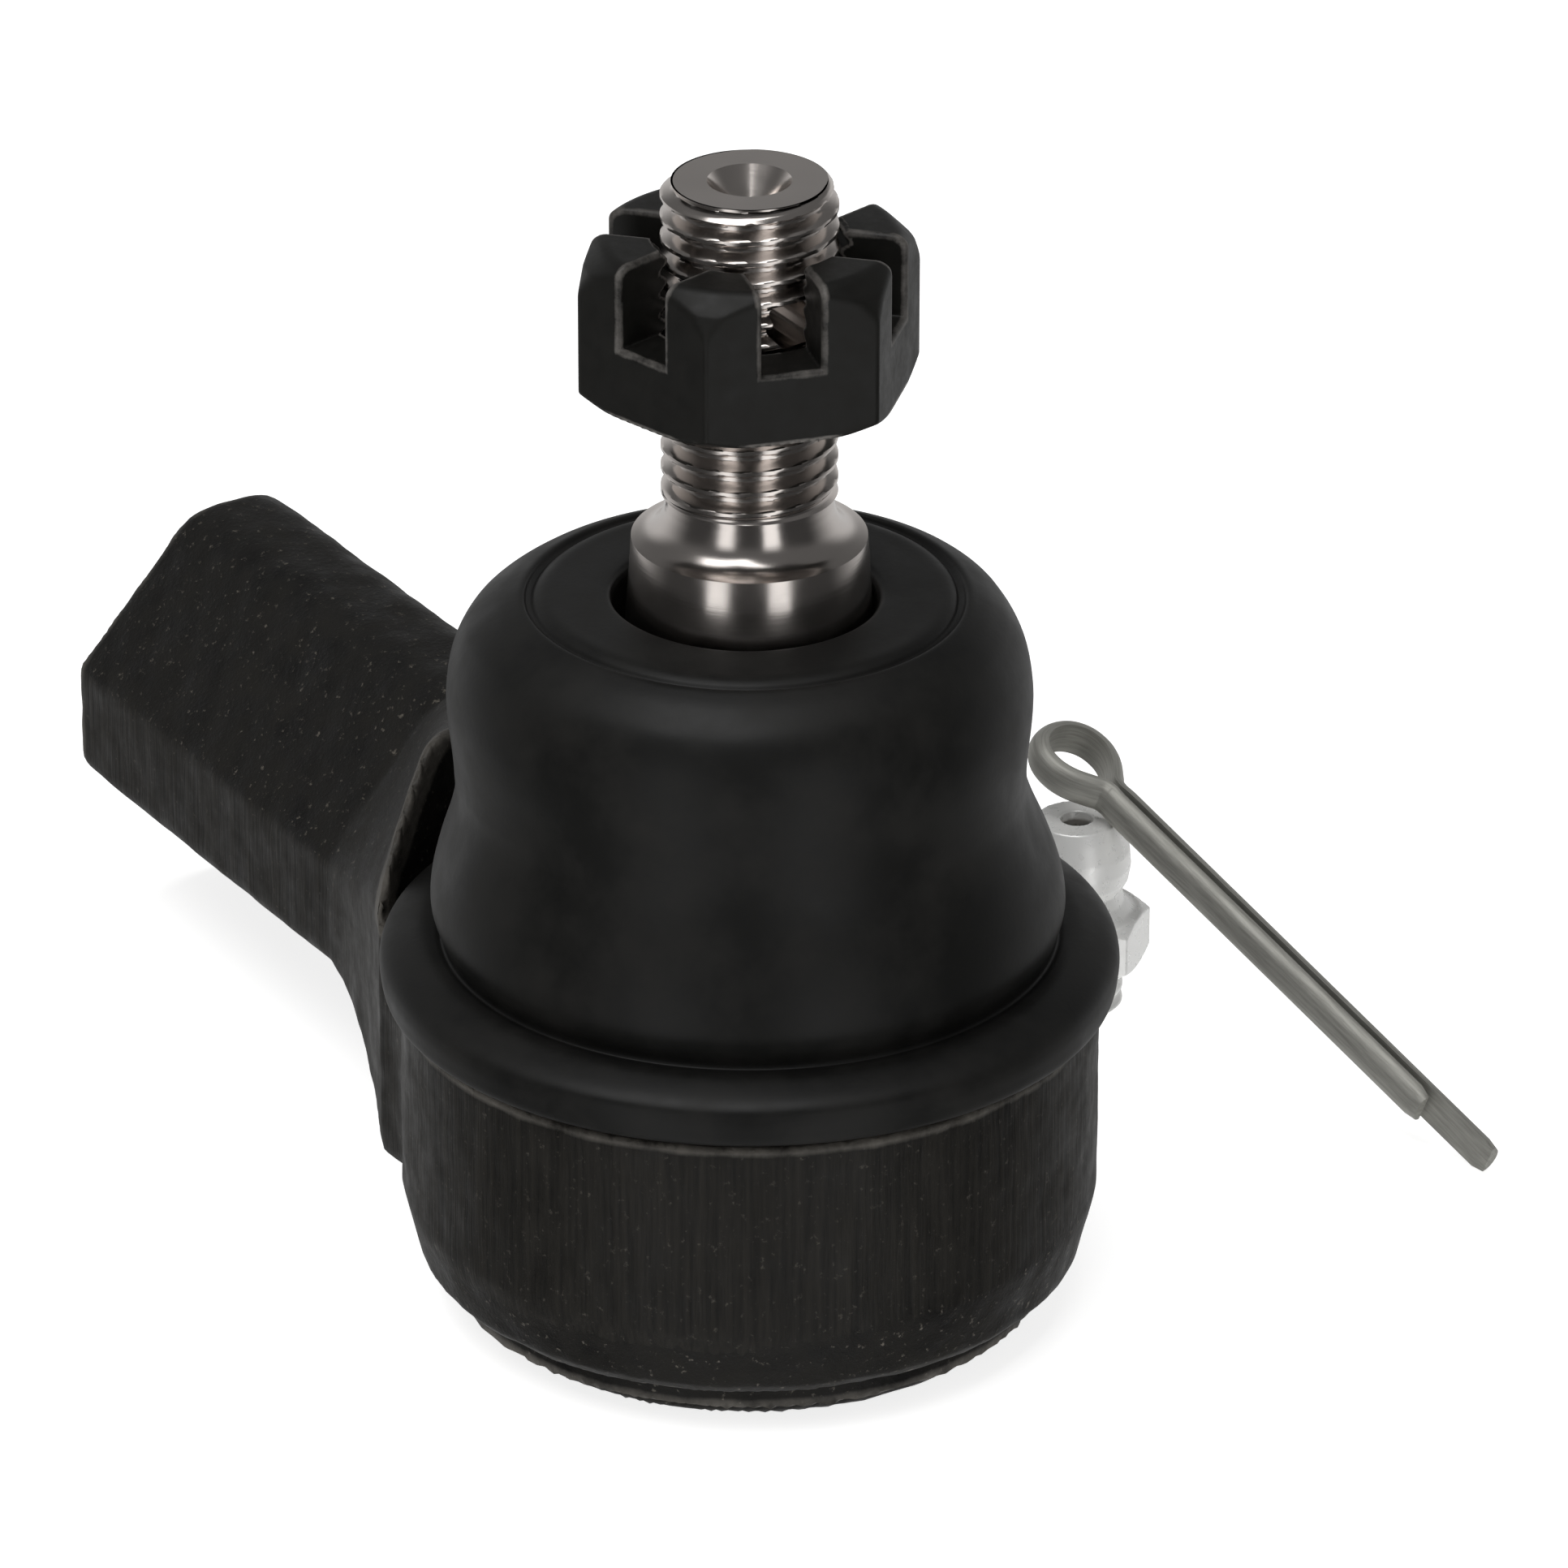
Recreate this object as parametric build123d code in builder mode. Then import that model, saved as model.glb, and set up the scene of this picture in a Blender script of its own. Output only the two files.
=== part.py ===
from build123d import *
import math
import os

# Tie rod end: a ball joint in a forged housing with a short threaded shank.
# Millimetres, +Z up along the ball stud, +X along the shank towards its threaded mouth.
# The origin is the centre of the flat ring that the housing rests on.
# A loose grease nipple and a loose split pin lie beside it, as the part is supplied.

os.makedirs("parts", exist_ok=True)

# Driving dimensions ------------------------------------------------------------

BARREL_R = 19.85
BARREL_TOP = 19.1
BARREL_FOOT = 2.8
FOOT_R = 18.9
BAND_FOOT = 7.0
BOSS_R = 16.05
SPIGOT_R = 17.0
SPIGOT_TOP = 21.9

BALL_R = 11.0
BALL_Z = 11.5
BALL_FLAT_Z = 5.0
SEAT_GAP = 0.05
SEAT_MOUTH_ANGLE = 55.0
BORE_R = 12.9
MOUTH_R = 9.8
MOUTH_TOP_R = 10.9

LIP_THICK = 0.6
CAP_THICK = 1.7
CAP_R = 13.7
LIP_BORE_R = 12.6
PLUG_HOLE_R = 2.55
PLUG_HEAD_R = 4.5

NECK_R = 5.4
TAPER_FOOT_Z = 29.0
TAPER_TOP_Z = 47.2
TAPER_TOP_R = 6.6
TAPER_SLOPE = 1 / 16
STEM_R = 4.72
STUD_TOP = 68.5
THREAD_R = 4.93
THREAD_PITCH = 1.25
THREAD_FOOT = 49.95
THREAD_DEPTH = 0.72
CROSS_HOLE_R = 1.4
CROSS_HOLE_Z = 61.6

NUT_FLATS = 17.0
NUT_FOOT = 56.3
NUT_HEIGHT = 9.0
NUT_BORE_R = THREAD_R + 0.06
NUT_TURN = 15.0
SLOT_WIDTH = 3.4
SLOT_DEPTH = 4.8

SHANK_Z = 12.7
SHANK_END = 63.0
SHANK_HALF_WIDTH = 9.9
SHANK_HALF_HEIGHT = 11.5
SHANK_CREST_UP = 11.8
CREST_FAR_BY = 1.6
SHANK_SIDE = 3.2
CREST_HALF = SHANK_HALF_WIDTH + SHANK_SIDE - SHANK_HALF_HEIGHT
SOCKET_R = 5.35
SOCKET_DEPTH = 30.0
FLARE_START = 32.0
FLARE_END = 17.0
BOOT_RELIEF_R = 22.3

BOOT_FOOT = BARREL_TOP + 0.3
BOOT_TOP = 43.7
BOOT_HOLE_R = 7.4
BOOT_WALL = 1.7

NIPPLE_X, NIPPLE_Y = 19.5, -34.6
NIPPLE_HEIGHT = 12.6
NIPPLE_THREAD_R = 2.95
NIPPLE_FLATS = 8.0
NIPPLE_BALL_R = 1.05

PIN_R = 1.15
PIN_GAP = 0.12
PIN_EYE = (21.25, -35.45, 15.5)
PIN_TIP = (-11.61, -43.19, 1.1)
PIN_SHORT_BY = 5.0
PIN_EYE_R = 1.85


def turn_about_axis(profile):
    """Revolve a closed (radius, height) outline about the stud's axis."""
    with BuildPart() as body:
        with BuildSketch(Plane.XZ):
            with BuildLine():
                Polyline(*profile, close=True)
            make_face()
        revolve(axis=Axis.Z)
    return body


def eight_sides(half_width, side, crest_half, up, down):
    """Outline of the shank's section, about its centre height, as (Y, Z) points. The upper crest
    reaches further on the -Y side."""
    return [
        (half_width, SHANK_Z - side),
        (half_width, SHANK_Z + side),
        (crest_half, SHANK_Z + up),
        (-crest_half - CREST_FAR_BY, SHANK_Z + up),
        (-half_width, SHANK_Z + side),
        (-half_width, SHANK_Z - side),
        (-crest_half, SHANK_Z - down),
        (crest_half, SHANK_Z - down),
    ]


# Housing: barrel, boot spigot, crimped foot and the forged shank ----------------

mouth_z = BALL_Z + math.sqrt(BORE_R**2 - MOUTH_R**2)
cap_top = LIP_THICK + CAP_THICK
arch_mid_r = BORE_R * math.sin(math.radians(70))
arch_mid_z = BALL_Z + BORE_R * math.cos(math.radians(70))

with BuildPart() as housing:
    with BuildSketch(Plane.XZ):
        with BuildLine():
            Polyline(
                (0, 0),
                (BOSS_R - 0.8, 0),
                (BOSS_R, 0.8),
                (BOSS_R, BARREL_FOOT),
                (FOOT_R - 0.9, BARREL_FOOT),
                (FOOT_R, BARREL_FOOT + 0.9),
                (BARREL_R, BAND_FOOT),
                (BARREL_R, BARREL_TOP),
                (SPIGOT_R, BARREL_TOP),
                (SPIGOT_R, SPIGOT_TOP),
                (0, SPIGOT_TOP),
                close=True,
            )
        make_face()
    revolve(axis=Axis.Z)
    # The shank is a square bar on edge, its side corners trimmed flat with the flash.
    # It swells into the barrel, so the same eight-sided outline is drawn twice.
    with BuildSketch(Plane.YZ.offset(FLARE_END)) as shank_root:
        with BuildLine():
            Polyline(*eight_sides(14.6, 8.0, 11.5, 16.8, 10.0), close=True)
        make_face()
        corners = shank_root.vertices().sort_by(Axis.Y)
        fillet(corners[:2] + corners[-2:], 3.0)
    with BuildSketch(Plane.YZ.offset(FLARE_START)) as shank_section:
        with BuildLine():
            Polyline(*eight_sides(SHANK_HALF_WIDTH, SHANK_SIDE, CREST_HALF, SHANK_CREST_UP, SHANK_HALF_HEIGHT),
                     close=True)
        make_face()
        corners = shank_section.vertices().sort_by(Axis.Y)
        fillet(corners[:2] + corners[-2:], 3.0)
    loft(ruled=True)
    extrude(shank_section.sketch, amount=SHANK_END - FLARE_START)
    with BuildSketch(Plane.YZ.offset(0)):
        with Locations((0, SHANK_Z - 1.0)):
            RectangleRounded(29.2, 17.0, 3.0)
    extrude(amount=FLARE_END + 0.5)
    # Clearance turned for the boot's flange, which leaves a wall at the shank.
    with BuildSketch(Plane.XY.offset(BARREL_TOP)):
        Circle(BOOT_RELIEF_R)
        Circle(SPIGOT_R, mode=Mode.SUBTRACT)
    extrude(amount=14, mode=Mode.SUBTRACT)
    with BuildSketch(Plane.XY.offset(SPIGOT_TOP)):
        Circle(SPIGOT_R + 1)
    extrude(amount=12, mode=Mode.SUBTRACT)
    # Ball chamber: straight bore, spherical arch and a flared mouth for the tilting stud.
    with BuildSketch(Plane.XZ):
        with BuildLine():
            Line((0, -1), (LIP_BORE_R, -1))
            Line((LIP_BORE_R, -1), (LIP_BORE_R, LIP_THICK))
            Line((LIP_BORE_R, LIP_THICK), (CAP_R, LIP_THICK))
            Line((CAP_R, LIP_THICK), (CAP_R, cap_top))
            Line((CAP_R, cap_top), (BORE_R, cap_top))
            Line((BORE_R, cap_top), (BORE_R, BALL_Z))
            ThreePointArc((BORE_R, BALL_Z), (arch_mid_r, arch_mid_z), (MOUTH_R, mouth_z))
            Line((MOUTH_R, mouth_z), (MOUTH_TOP_R, SPIGOT_TOP + 0.1))
            Line((MOUTH_TOP_R, SPIGOT_TOP + 0.1), (0, SPIGOT_TOP + 0.1))
            Line((0, SPIGOT_TOP + 0.1), (0, -1))
        make_face()
    revolve(axis=Axis.Z, mode=Mode.SUBTRACT)
    # Threaded socket, at its minor diameter, with a drill-point floor and a lead chamfer.
    with BuildSketch(Plane.XZ):
        with BuildLine():
            Polyline(
                (SHANK_END + 1, SHANK_Z),
                (SHANK_END + 1, SHANK_Z + SOCKET_R + 1.9),
                (SHANK_END - 0.9, SHANK_Z + SOCKET_R),
                (SHANK_END - SOCKET_DEPTH, SHANK_Z + SOCKET_R),
                (SHANK_END - SOCKET_DEPTH - SOCKET_R * 0.6, SHANK_Z),
                close=True,
            )
        make_face()
    revolve(axis=Axis((0, 0, SHANK_Z), (1, 0, 0)), mode=Mode.SUBTRACT)
housing.part.label = "housing"
export_step(housing.part, "parts/housing.step")

# Ball stud ------------------------------------------------------------------------

taper_foot_r = TAPER_TOP_R + (TAPER_TOP_Z - TAPER_FOOT_Z) * TAPER_SLOPE
ball_neck_z = BALL_Z + math.sqrt(BALL_R**2 - NECK_R**2)
ball_flat_r = math.sqrt(BALL_R**2 - (BALL_Z - BALL_FLAT_Z) ** 2)
thread_turns = int((STUD_TOP - 0.9 - THREAD_FOOT) / THREAD_PITCH)
groove_r = THREAD_R - THREAD_DEPTH

thread_outline = []
for turn in range(thread_turns):
    foot = THREAD_FOOT + turn * THREAD_PITCH
    thread_outline += [
        (groove_r, foot + 0.10),
        (groove_r, foot + 0.26),
        (THREAD_R, foot + 0.60),
        (THREAD_R, foot + 0.76),
        (groove_r, foot + 1.10),
    ]
thread_end = THREAD_FOOT + thread_turns * THREAD_PITCH

with BuildPart() as ball_stud:
    with BuildSketch(Plane.XZ):
        with BuildLine():
            Polyline((0, STUD_TOP - 3.6), (0, BALL_FLAT_Z), (ball_flat_r, BALL_FLAT_Z))
            ThreePointArc(
                (ball_flat_r, BALL_FLAT_Z),
                (BALL_R, BALL_Z),
                (NECK_R, ball_neck_z),
            )
            Line((NECK_R, ball_neck_z), (NECK_R, TAPER_FOOT_Z - 4.5))
            ThreePointArc(
                (NECK_R, TAPER_FOOT_Z - 4.5),
                (NECK_R + 0.6, TAPER_FOOT_Z - 2.0),
                (taper_foot_r, TAPER_FOOT_Z),
            )
            Line((taper_foot_r, TAPER_FOOT_Z), (TAPER_TOP_R, TAPER_TOP_Z))
            ThreePointArc(
                (TAPER_TOP_R, TAPER_TOP_Z),
                (STEM_R + 0.55, TAPER_TOP_Z + 0.75),
                (STEM_R, TAPER_TOP_Z + 2.3),
            )
            Polyline(
                (STEM_R, TAPER_TOP_Z + 2.3),
                (STEM_R, THREAD_FOOT - 0.2),
                *thread_outline,
                (groove_r, thread_end + 0.1),
                (THREAD_R - 0.1, thread_end + 0.45),
                (THREAD_R - 0.55, STUD_TOP),
                (2.35, STUD_TOP),
                (0.8, STUD_TOP - 2.3),
                (0.8, STUD_TOP - 3.6),
                (0, STUD_TOP - 3.6),
            )
        make_face()
    revolve(axis=Axis.Z)
    with BuildSketch(Plane.YZ.offset(-THREAD_R - 1)):
        with Locations((0, CROSS_HOLE_Z)):
            Circle(CROSS_HOLE_R)
    extrude(amount=2 * THREAD_R + 2, mode=Mode.SUBTRACT)
ball_stud.part.label = "ball_stud"
export_step(ball_stud.part, "parts/ball_stud.step")

# Bearing seats, spring and end cap, all sealed inside the barrel ---------------------

seat_r = BALL_R + SEAT_GAP
seat_outer = BORE_R - 0.02
# The seat's mouth is wide enough for the neck at the far corner of the stud's tilt.
upper_seat_top = BALL_Z + seat_r * math.cos(math.radians(SEAT_MOUTH_ANGLE))
upper_inner_top = math.sqrt(seat_r**2 - (upper_seat_top - BALL_Z) ** 2)
upper_outer_top = math.sqrt(seat_outer**2 - (upper_seat_top - BALL_Z) ** 2)
lower_seat_foot = 4.6
lower_inner_foot = math.sqrt(seat_r**2 - (BALL_Z - lower_seat_foot) ** 2)

with BuildPart() as upper_bearing_seat:
    with BuildSketch(Plane.XZ):
        with BuildLine():
            Line((seat_r, BALL_Z + 0.1), (seat_outer, BALL_Z + 0.1))
            ThreePointArc(
                (seat_outer, BALL_Z + 0.1),
                (seat_outer * math.cos(math.radians(20)), BALL_Z + seat_outer * math.sin(math.radians(20))),
                (upper_outer_top, upper_seat_top),
            )
            Line((upper_outer_top, upper_seat_top), (upper_inner_top, upper_seat_top))
            ThreePointArc(
                (upper_inner_top, upper_seat_top),
                (seat_r * math.cos(math.radians(20)), BALL_Z + seat_r * math.sin(math.radians(20))),
                (seat_r, BALL_Z + 0.1),
            )
        make_face()
    revolve(axis=Axis.Z)
upper_bearing_seat.part.label = "upper_bearing_seat"
export_step(upper_bearing_seat.part, "parts/upper_bearing_seat.step")

with BuildPart() as lower_bearing_seat:
    with BuildSketch(Plane.XZ):
        with BuildLine():
            Polyline(
                (lower_inner_foot, lower_seat_foot),
                (seat_outer, lower_seat_foot),
                (seat_outer, BALL_Z - 0.1),
                (seat_r, BALL_Z - 0.1),
            )
            ThreePointArc(
                (seat_r, BALL_Z - 0.1),
                (seat_r * math.cos(math.radians(20)), BALL_Z - seat_r * math.sin(math.radians(20))),
                (lower_inner_foot, lower_seat_foot),
            )
        make_face()
    revolve(axis=Axis.Z)
lower_bearing_seat.part.label = "lower_bearing_seat"
export_step(lower_bearing_seat.part, "parts/lower_bearing_seat.step")

# A coned disc spring that keeps the lower seat pressed on the ball.
preload_spring = turn_about_axis(
    [
        (8.6, lower_seat_foot - 0.95),
        (12.5, cap_top + 0.05),
        (12.7, cap_top + 0.75),
        (8.9, lower_seat_foot - 0.05),
    ]
)
preload_spring.part.label = "preload_spring"
export_step(preload_spring.part, "parts/preload_spring.step")

with BuildPart() as end_cap:
    with BuildSketch(Plane.XY.offset(LIP_THICK)):
        Circle(CAP_R - 0.02)
    extrude(amount=CAP_THICK - 0.6)
    with BuildSketch(Plane.XY.offset(LIP_THICK + CAP_THICK - 0.6)):
        Circle(CAP_R - 0.02)
        Circle(7.0, mode=Mode.SUBTRACT)
    extrude(amount=0.6)
    with BuildSketch(Plane.XY.offset(0)):
        Circle(PLUG_HOLE_R)
    extrude(amount=4, mode=Mode.SUBTRACT)
end_cap.part.label = "end_cap"
export_step(end_cap.part, "parts/end_cap.step")

# The plug that keeps dirt out of the grease port until the nipple is screwed in.
grease_port_plug = turn_about_axis(
    [
        (0, 0),
        (PLUG_HEAD_R - 0.3, 0),
        (PLUG_HEAD_R, 0.2),
        (PLUG_HEAD_R, LIP_THICK - 0.02),
        (PLUG_HOLE_R - 0.05, LIP_THICK - 0.02),
        (PLUG_HOLE_R - 0.05, 2.0),
        (0, 2.0),
    ]
)
grease_port_plug.part.label = "grease_port_plug"
export_step(grease_port_plug.part, "parts/grease_port_plug.step")

# Dust boot and its two rings ----------------------------------------------------------

with BuildPart() as dust_boot:
    with BuildSketch(Plane.XZ):
        with BuildLine():
            Polyline((18.0, BOOT_FOOT), (20.3, BOOT_FOOT), (20.9, BOOT_FOOT + 0.8), (20.95, 21.5))
            Spline((20.95, 21.5), (20.3, 22.5), (18.6, 22.75), (17.5, 23.0))
            Spline(
                (17.5, 23.0),
                (17.95, 24.9),
                (17.2, 27.8),
                (16.05, 31.4),
                (16.15, 34.5),
                (16.4, 37.6),
                (15.9, 40.4),
                (14.6, 42.4),
                (12.6, 43.5),
                (11.9, BOOT_TOP),
            )
            Polyline(
                (11.9, BOOT_TOP),
                (BOOT_HOLE_R, BOOT_TOP),
                (BOOT_HOLE_R, 38.2),
                (9.2, 38.2),
                (9.2, BOOT_TOP - BOOT_WALL),
                (12.0, BOOT_TOP - BOOT_WALL),
                (14.0, 40.6),
                (14.7, 37.6),
                (14.4, 31.4),
                (16.2, 25.6),
                (16.2, 24.2),
                (18.0, 22.3),
                (18.0, BOOT_FOOT),
            )
        make_face()
    revolve(axis=Axis.Z)
dust_boot.part.label = "dust_boot"
export_step(dust_boot.part, "parts/dust_boot.step")

boot_base_ring = turn_about_axis(
    [
        (SPIGOT_R + 0.02, BARREL_TOP + 0.3),
        (SPIGOT_R + 0.7, BARREL_TOP + 0.3),
        (SPIGOT_R + 0.7, SPIGOT_TOP - 0.1),
        (SPIGOT_R + 0.02, SPIGOT_TOP - 0.1),
    ]
)
boot_base_ring.part.label = "boot_base_ring"
export_step(boot_base_ring.part, "parts/boot_base_ring.step")

with BuildPart() as boot_lip_ring:
    with BuildSketch(Plane.XZ):
        with Locations((10.2, 40.2)):
            Circle(0.7)
    revolve(axis=Axis.Z)
boot_lip_ring.part.label = "boot_lip_ring"
export_step(boot_lip_ring.part, "parts/boot_lip_ring.step")

# Castle nut ------------------------------------------------------------------------------

nut_top = NUT_FOOT + NUT_HEIGHT
nut_corner = NUT_FLATS / math.sqrt(3)

with BuildPart() as castle_nut:
    with BuildSketch(Plane.XY.offset(NUT_FOOT)):
        RegularPolygon(nut_corner, 6, rotation=NUT_TURN)
        Circle(NUT_BORE_R, mode=Mode.SUBTRACT)
    extrude(amount=NUT_HEIGHT)
    with BuildSketch(Plane.XZ):
        with BuildLine():
            Polyline(
                (0, NUT_FOOT),
                (nut_corner - 0.9, NUT_FOOT),
                (nut_corner, NUT_FOOT + 0.5),
                (nut_corner, nut_top - 2.3),
                (nut_corner - 0.5, nut_top - 1.1),
                (nut_corner - 1.6, nut_top),
                (0, nut_top),
                close=True,
            )
        make_face()
    revolve(axis=Axis.Z, mode=Mode.INTERSECT)
    with BuildSketch(Plane.XY.offset(nut_top - SLOT_DEPTH)):
        for slot in range(3):
            Rectangle(3 * NUT_FLATS, SLOT_WIDTH, rotation=NUT_TURN + 30 + 60 * slot)
    extrude(amount=SLOT_DEPTH, mode=Mode.SUBTRACT)
castle_nut.part.label = "castle_nut"
export_step(castle_nut.part, "parts/castle_nut.step")

# Loose grease nipple, standing on its thread ------------------------------------------------

nipple_axis = Axis((NIPPLE_X, NIPPLE_Y, 0), (0, 0, 1))
nipple_plane = Plane((NIPPLE_X, NIPPLE_Y, 0), x_dir=(1, 0, 0), z_dir=(0, -1, 0))

with BuildPart() as grease_nipple:
    with BuildSketch(nipple_plane):
        with BuildLine():
            Polyline(
                (0, 0),
                (NIPPLE_THREAD_R - 0.5, 0),
                (NIPPLE_THREAD_R, 0.6),
                (NIPPLE_THREAD_R, 2.4),
                (3.5, 2.9),
                (3.5, 6.6),
                (2.85, 7.4),
                (2.75, 8.2),
                (3.25, 9.0),
                (3.3, 10.6),
                (2.4, NIPPLE_HEIGHT),
                (0, NIPPLE_HEIGHT),
                close=True,
            )
        make_face()
    revolve(axis=nipple_axis)
    with BuildSketch(Plane((NIPPLE_X, NIPPLE_Y, 3.4))):
        RegularPolygon(NIPPLE_FLATS / math.sqrt(3), 6, rotation=10)
    extrude(amount=3.2)
    with BuildSketch(nipple_plane):
        with BuildLine():
            Polyline(
                (0, -1),
                (0.8, -1),
                (0.8, 7.6),
                (1.4, 8.0),
                (1.4, 11.5),
                (0.85, NIPPLE_HEIGHT - 0.5),
                (1.05, NIPPLE_HEIGHT + 0.1),
                (0, NIPPLE_HEIGHT + 0.1),
                close=True,
            )
        make_face()
    revolve(axis=nipple_axis, mode=Mode.SUBTRACT)
grease_nipple.part.label = "grease_nipple"
export_step(grease_nipple.part, "parts/grease_nipple.step")

with BuildPart() as nipple_check_ball:
    with Locations((NIPPLE_X, NIPPLE_Y, 10.6)):
        Sphere(NIPPLE_BALL_R)
nipple_check_ball.part.label = "nipple_check_ball"
export_step(nipple_check_ball.part, "parts/nipple_check_ball.step")

# The ball's spring, as the closed sleeve that its few turns fill.
with BuildPart() as nipple_spring:
    with BuildSketch(Plane((NIPPLE_X, NIPPLE_Y, 8.05))):
        Circle(1.2)
        Circle(0.85, mode=Mode.SUBTRACT)
    extrude(amount=1.3)
nipple_spring.part.label = "nipple_spring"
export_step(nipple_spring.part, "parts/nipple_spring.step")

# Loose split pin, leaning with its eye over the nipple's head ----------------------------------

eye = Vector(*PIN_EYE)
along = (Vector(*PIN_TIP) - eye).normalized()
across = Vector(0, 0, 1).cross(along).normalized()
pin_length = (Vector(*PIN_TIP) - eye).length
leg_start = PIN_EYE_R + 0.5
eye_plane = Plane(eye, x_dir=along, z_dir=along.cross(across))
leg_plane = Plane(eye + along * leg_start, x_dir=across, z_dir=along)

with BuildPart() as split_pin:
    with BuildSketch(Plane(eye, x_dir=along, z_dir=across)):
        with BuildLine():
            Line((PIN_EYE_R, -PIN_R), (PIN_EYE_R, PIN_R))
            ThreePointArc((PIN_EYE_R, -PIN_R), (PIN_EYE_R + PIN_R, 0), (PIN_EYE_R, PIN_R))
        make_face()
    revolve(axis=Axis(eye, eye_plane.z_dir))
    with BuildSketch(leg_plane):
        Circle(PIN_R)
        Rectangle(2 * PIN_GAP, 4 * PIN_R, mode=Mode.SUBTRACT)
        with Locations((-2 * PIN_R - PIN_GAP, 0)):
            Rectangle(4 * PIN_R, 4 * PIN_R, mode=Mode.SUBTRACT)
    extrude(amount=pin_length - leg_start)
    with BuildSketch(leg_plane):
        Circle(PIN_R)
        Rectangle(2 * PIN_GAP, 4 * PIN_R, mode=Mode.SUBTRACT)
        with Locations((2 * PIN_R + PIN_GAP, 0)):
            Rectangle(4 * PIN_R, 4 * PIN_R, mode=Mode.SUBTRACT)
    extrude(amount=pin_length - leg_start - PIN_SHORT_BY)
split_pin.part.label = "split_pin"
export_step(split_pin.part, "parts/split_pin.step")
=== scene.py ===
# %% Load the frame
import bmesh
import bpy
import math
import numpy as np
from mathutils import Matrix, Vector


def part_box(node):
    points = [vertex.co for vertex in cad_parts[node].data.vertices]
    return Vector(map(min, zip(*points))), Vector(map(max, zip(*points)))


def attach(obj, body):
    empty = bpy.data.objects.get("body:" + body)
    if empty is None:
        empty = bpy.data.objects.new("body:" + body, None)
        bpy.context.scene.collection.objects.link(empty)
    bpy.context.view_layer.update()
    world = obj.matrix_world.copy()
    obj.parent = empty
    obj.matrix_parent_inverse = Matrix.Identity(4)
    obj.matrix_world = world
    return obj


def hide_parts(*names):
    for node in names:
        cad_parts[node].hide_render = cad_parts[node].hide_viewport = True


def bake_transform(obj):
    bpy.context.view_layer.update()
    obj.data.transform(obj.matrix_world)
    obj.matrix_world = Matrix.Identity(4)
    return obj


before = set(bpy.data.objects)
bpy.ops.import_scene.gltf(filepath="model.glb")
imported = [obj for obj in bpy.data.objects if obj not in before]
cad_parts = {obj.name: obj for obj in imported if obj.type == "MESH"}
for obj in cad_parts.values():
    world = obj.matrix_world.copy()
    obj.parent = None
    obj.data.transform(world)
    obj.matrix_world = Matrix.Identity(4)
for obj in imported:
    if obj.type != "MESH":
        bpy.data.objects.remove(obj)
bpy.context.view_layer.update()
print("CAD nodes:", len(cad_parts))

# %% [markdown]
# # A tie rod end
# The part is a ball joint in a forged housing, with a rubber boot, a castle nut on the stud,
# and a loose grease nipple and split pin beside it. The frame holds every size. Shapes are
# worked out here in millimetres and turned to metres once, when a mesh is made.

# %% Units and sizes taken from the frame
MM = 0.001


def size_of(node):
    """Lowest and highest corner of a CAD node in millimetres."""
    low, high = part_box(node)
    return np.array(low) / MM, np.array(high) / MM


housing_low, housing_high = size_of("housing")
stud_low, stud_high = size_of("ball_stud")
nut_low, nut_high = size_of("castle_nut")
nipple_low, nipple_high = size_of("grease_nipple")
ball_low, ball_high = size_of("nipple_check_ball")

BARREL_R = -housing_low[1]
SHANK_END = housing_high[0]
STUD_TOP = stud_high[2]
NUT_FOOT, NUT_TOP = nut_low[2], nut_high[2]
NIPPLE_X, NIPPLE_Y = (ball_low[:2] + ball_high[:2]) / 2
print("barrel radius", round(BARREL_R, 2), "stud top", round(STUD_TOP, 2))

# %% [markdown]
# ## Helpers for meshes
# A surface is a grid of points, or the zero level of a distance formula. Both end in the same
# function, which fills a mesh with whole arrays and turns the faces outward if the volume that
# they enclose comes out negative.

# %% Fill a mesh


def make_piece(name, points, faces, attributes=None):
    """A piece from points in millimetres and four-sided faces. The volume is the sum, over the
    faces, of the box product of three corners, twice, over six: below zero means inside out."""
    a, b, c, d = (points[faces[:, i]] for i in range(4))
    volume = np.einsum("ij,ij->", a, np.cross(b, c)) + np.einsum("ij,ij->", a, np.cross(c, d))
    if volume < 0:
        faces = faces[:, ::-1]
    mesh = bpy.data.meshes.new(name)
    mesh.vertices.add(len(points))
    mesh.vertices.foreach_set("co", (points * MM).astype(np.float32).ravel())
    mesh.loops.add(faces.size)
    mesh.loops.foreach_set("vertex_index", faces.astype(np.int32).ravel())
    mesh.polygons.add(len(faces))
    mesh.polygons.foreach_set("loop_start", np.arange(0, faces.size, 4, dtype=np.int32))
    mesh.update(calc_edges=True)
    for label, values in (attributes or {}).items():
        kind = "FLOAT_VECTOR" if values.ndim == 2 else "FLOAT"
        layer = mesh.attributes.new(label, kind, "POINT")
        layer.data.foreach_set("vector" if values.ndim == 2 else "value", values.astype(np.float32).ravel())
    # Poles and seams: points that coincide become one, and faces with no area go.
    work = bmesh.new()
    work.from_mesh(mesh)
    bmesh.ops.remove_doubles(work, verts=work.verts, dist=0.0005 * MM)
    bmesh.ops.dissolve_degenerate(work, edges=work.edges, dist=0.0001 * MM)
    work.to_mesh(mesh)
    work.free()
    mesh.polygons.foreach_set("use_smooth", np.ones(len(mesh.polygons), bool))
    mesh.update()
    piece = bpy.data.objects.new(name, mesh)
    bpy.context.scene.collection.objects.link(piece)
    print(name, "faces", len(mesh.polygons))
    return piece


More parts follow.
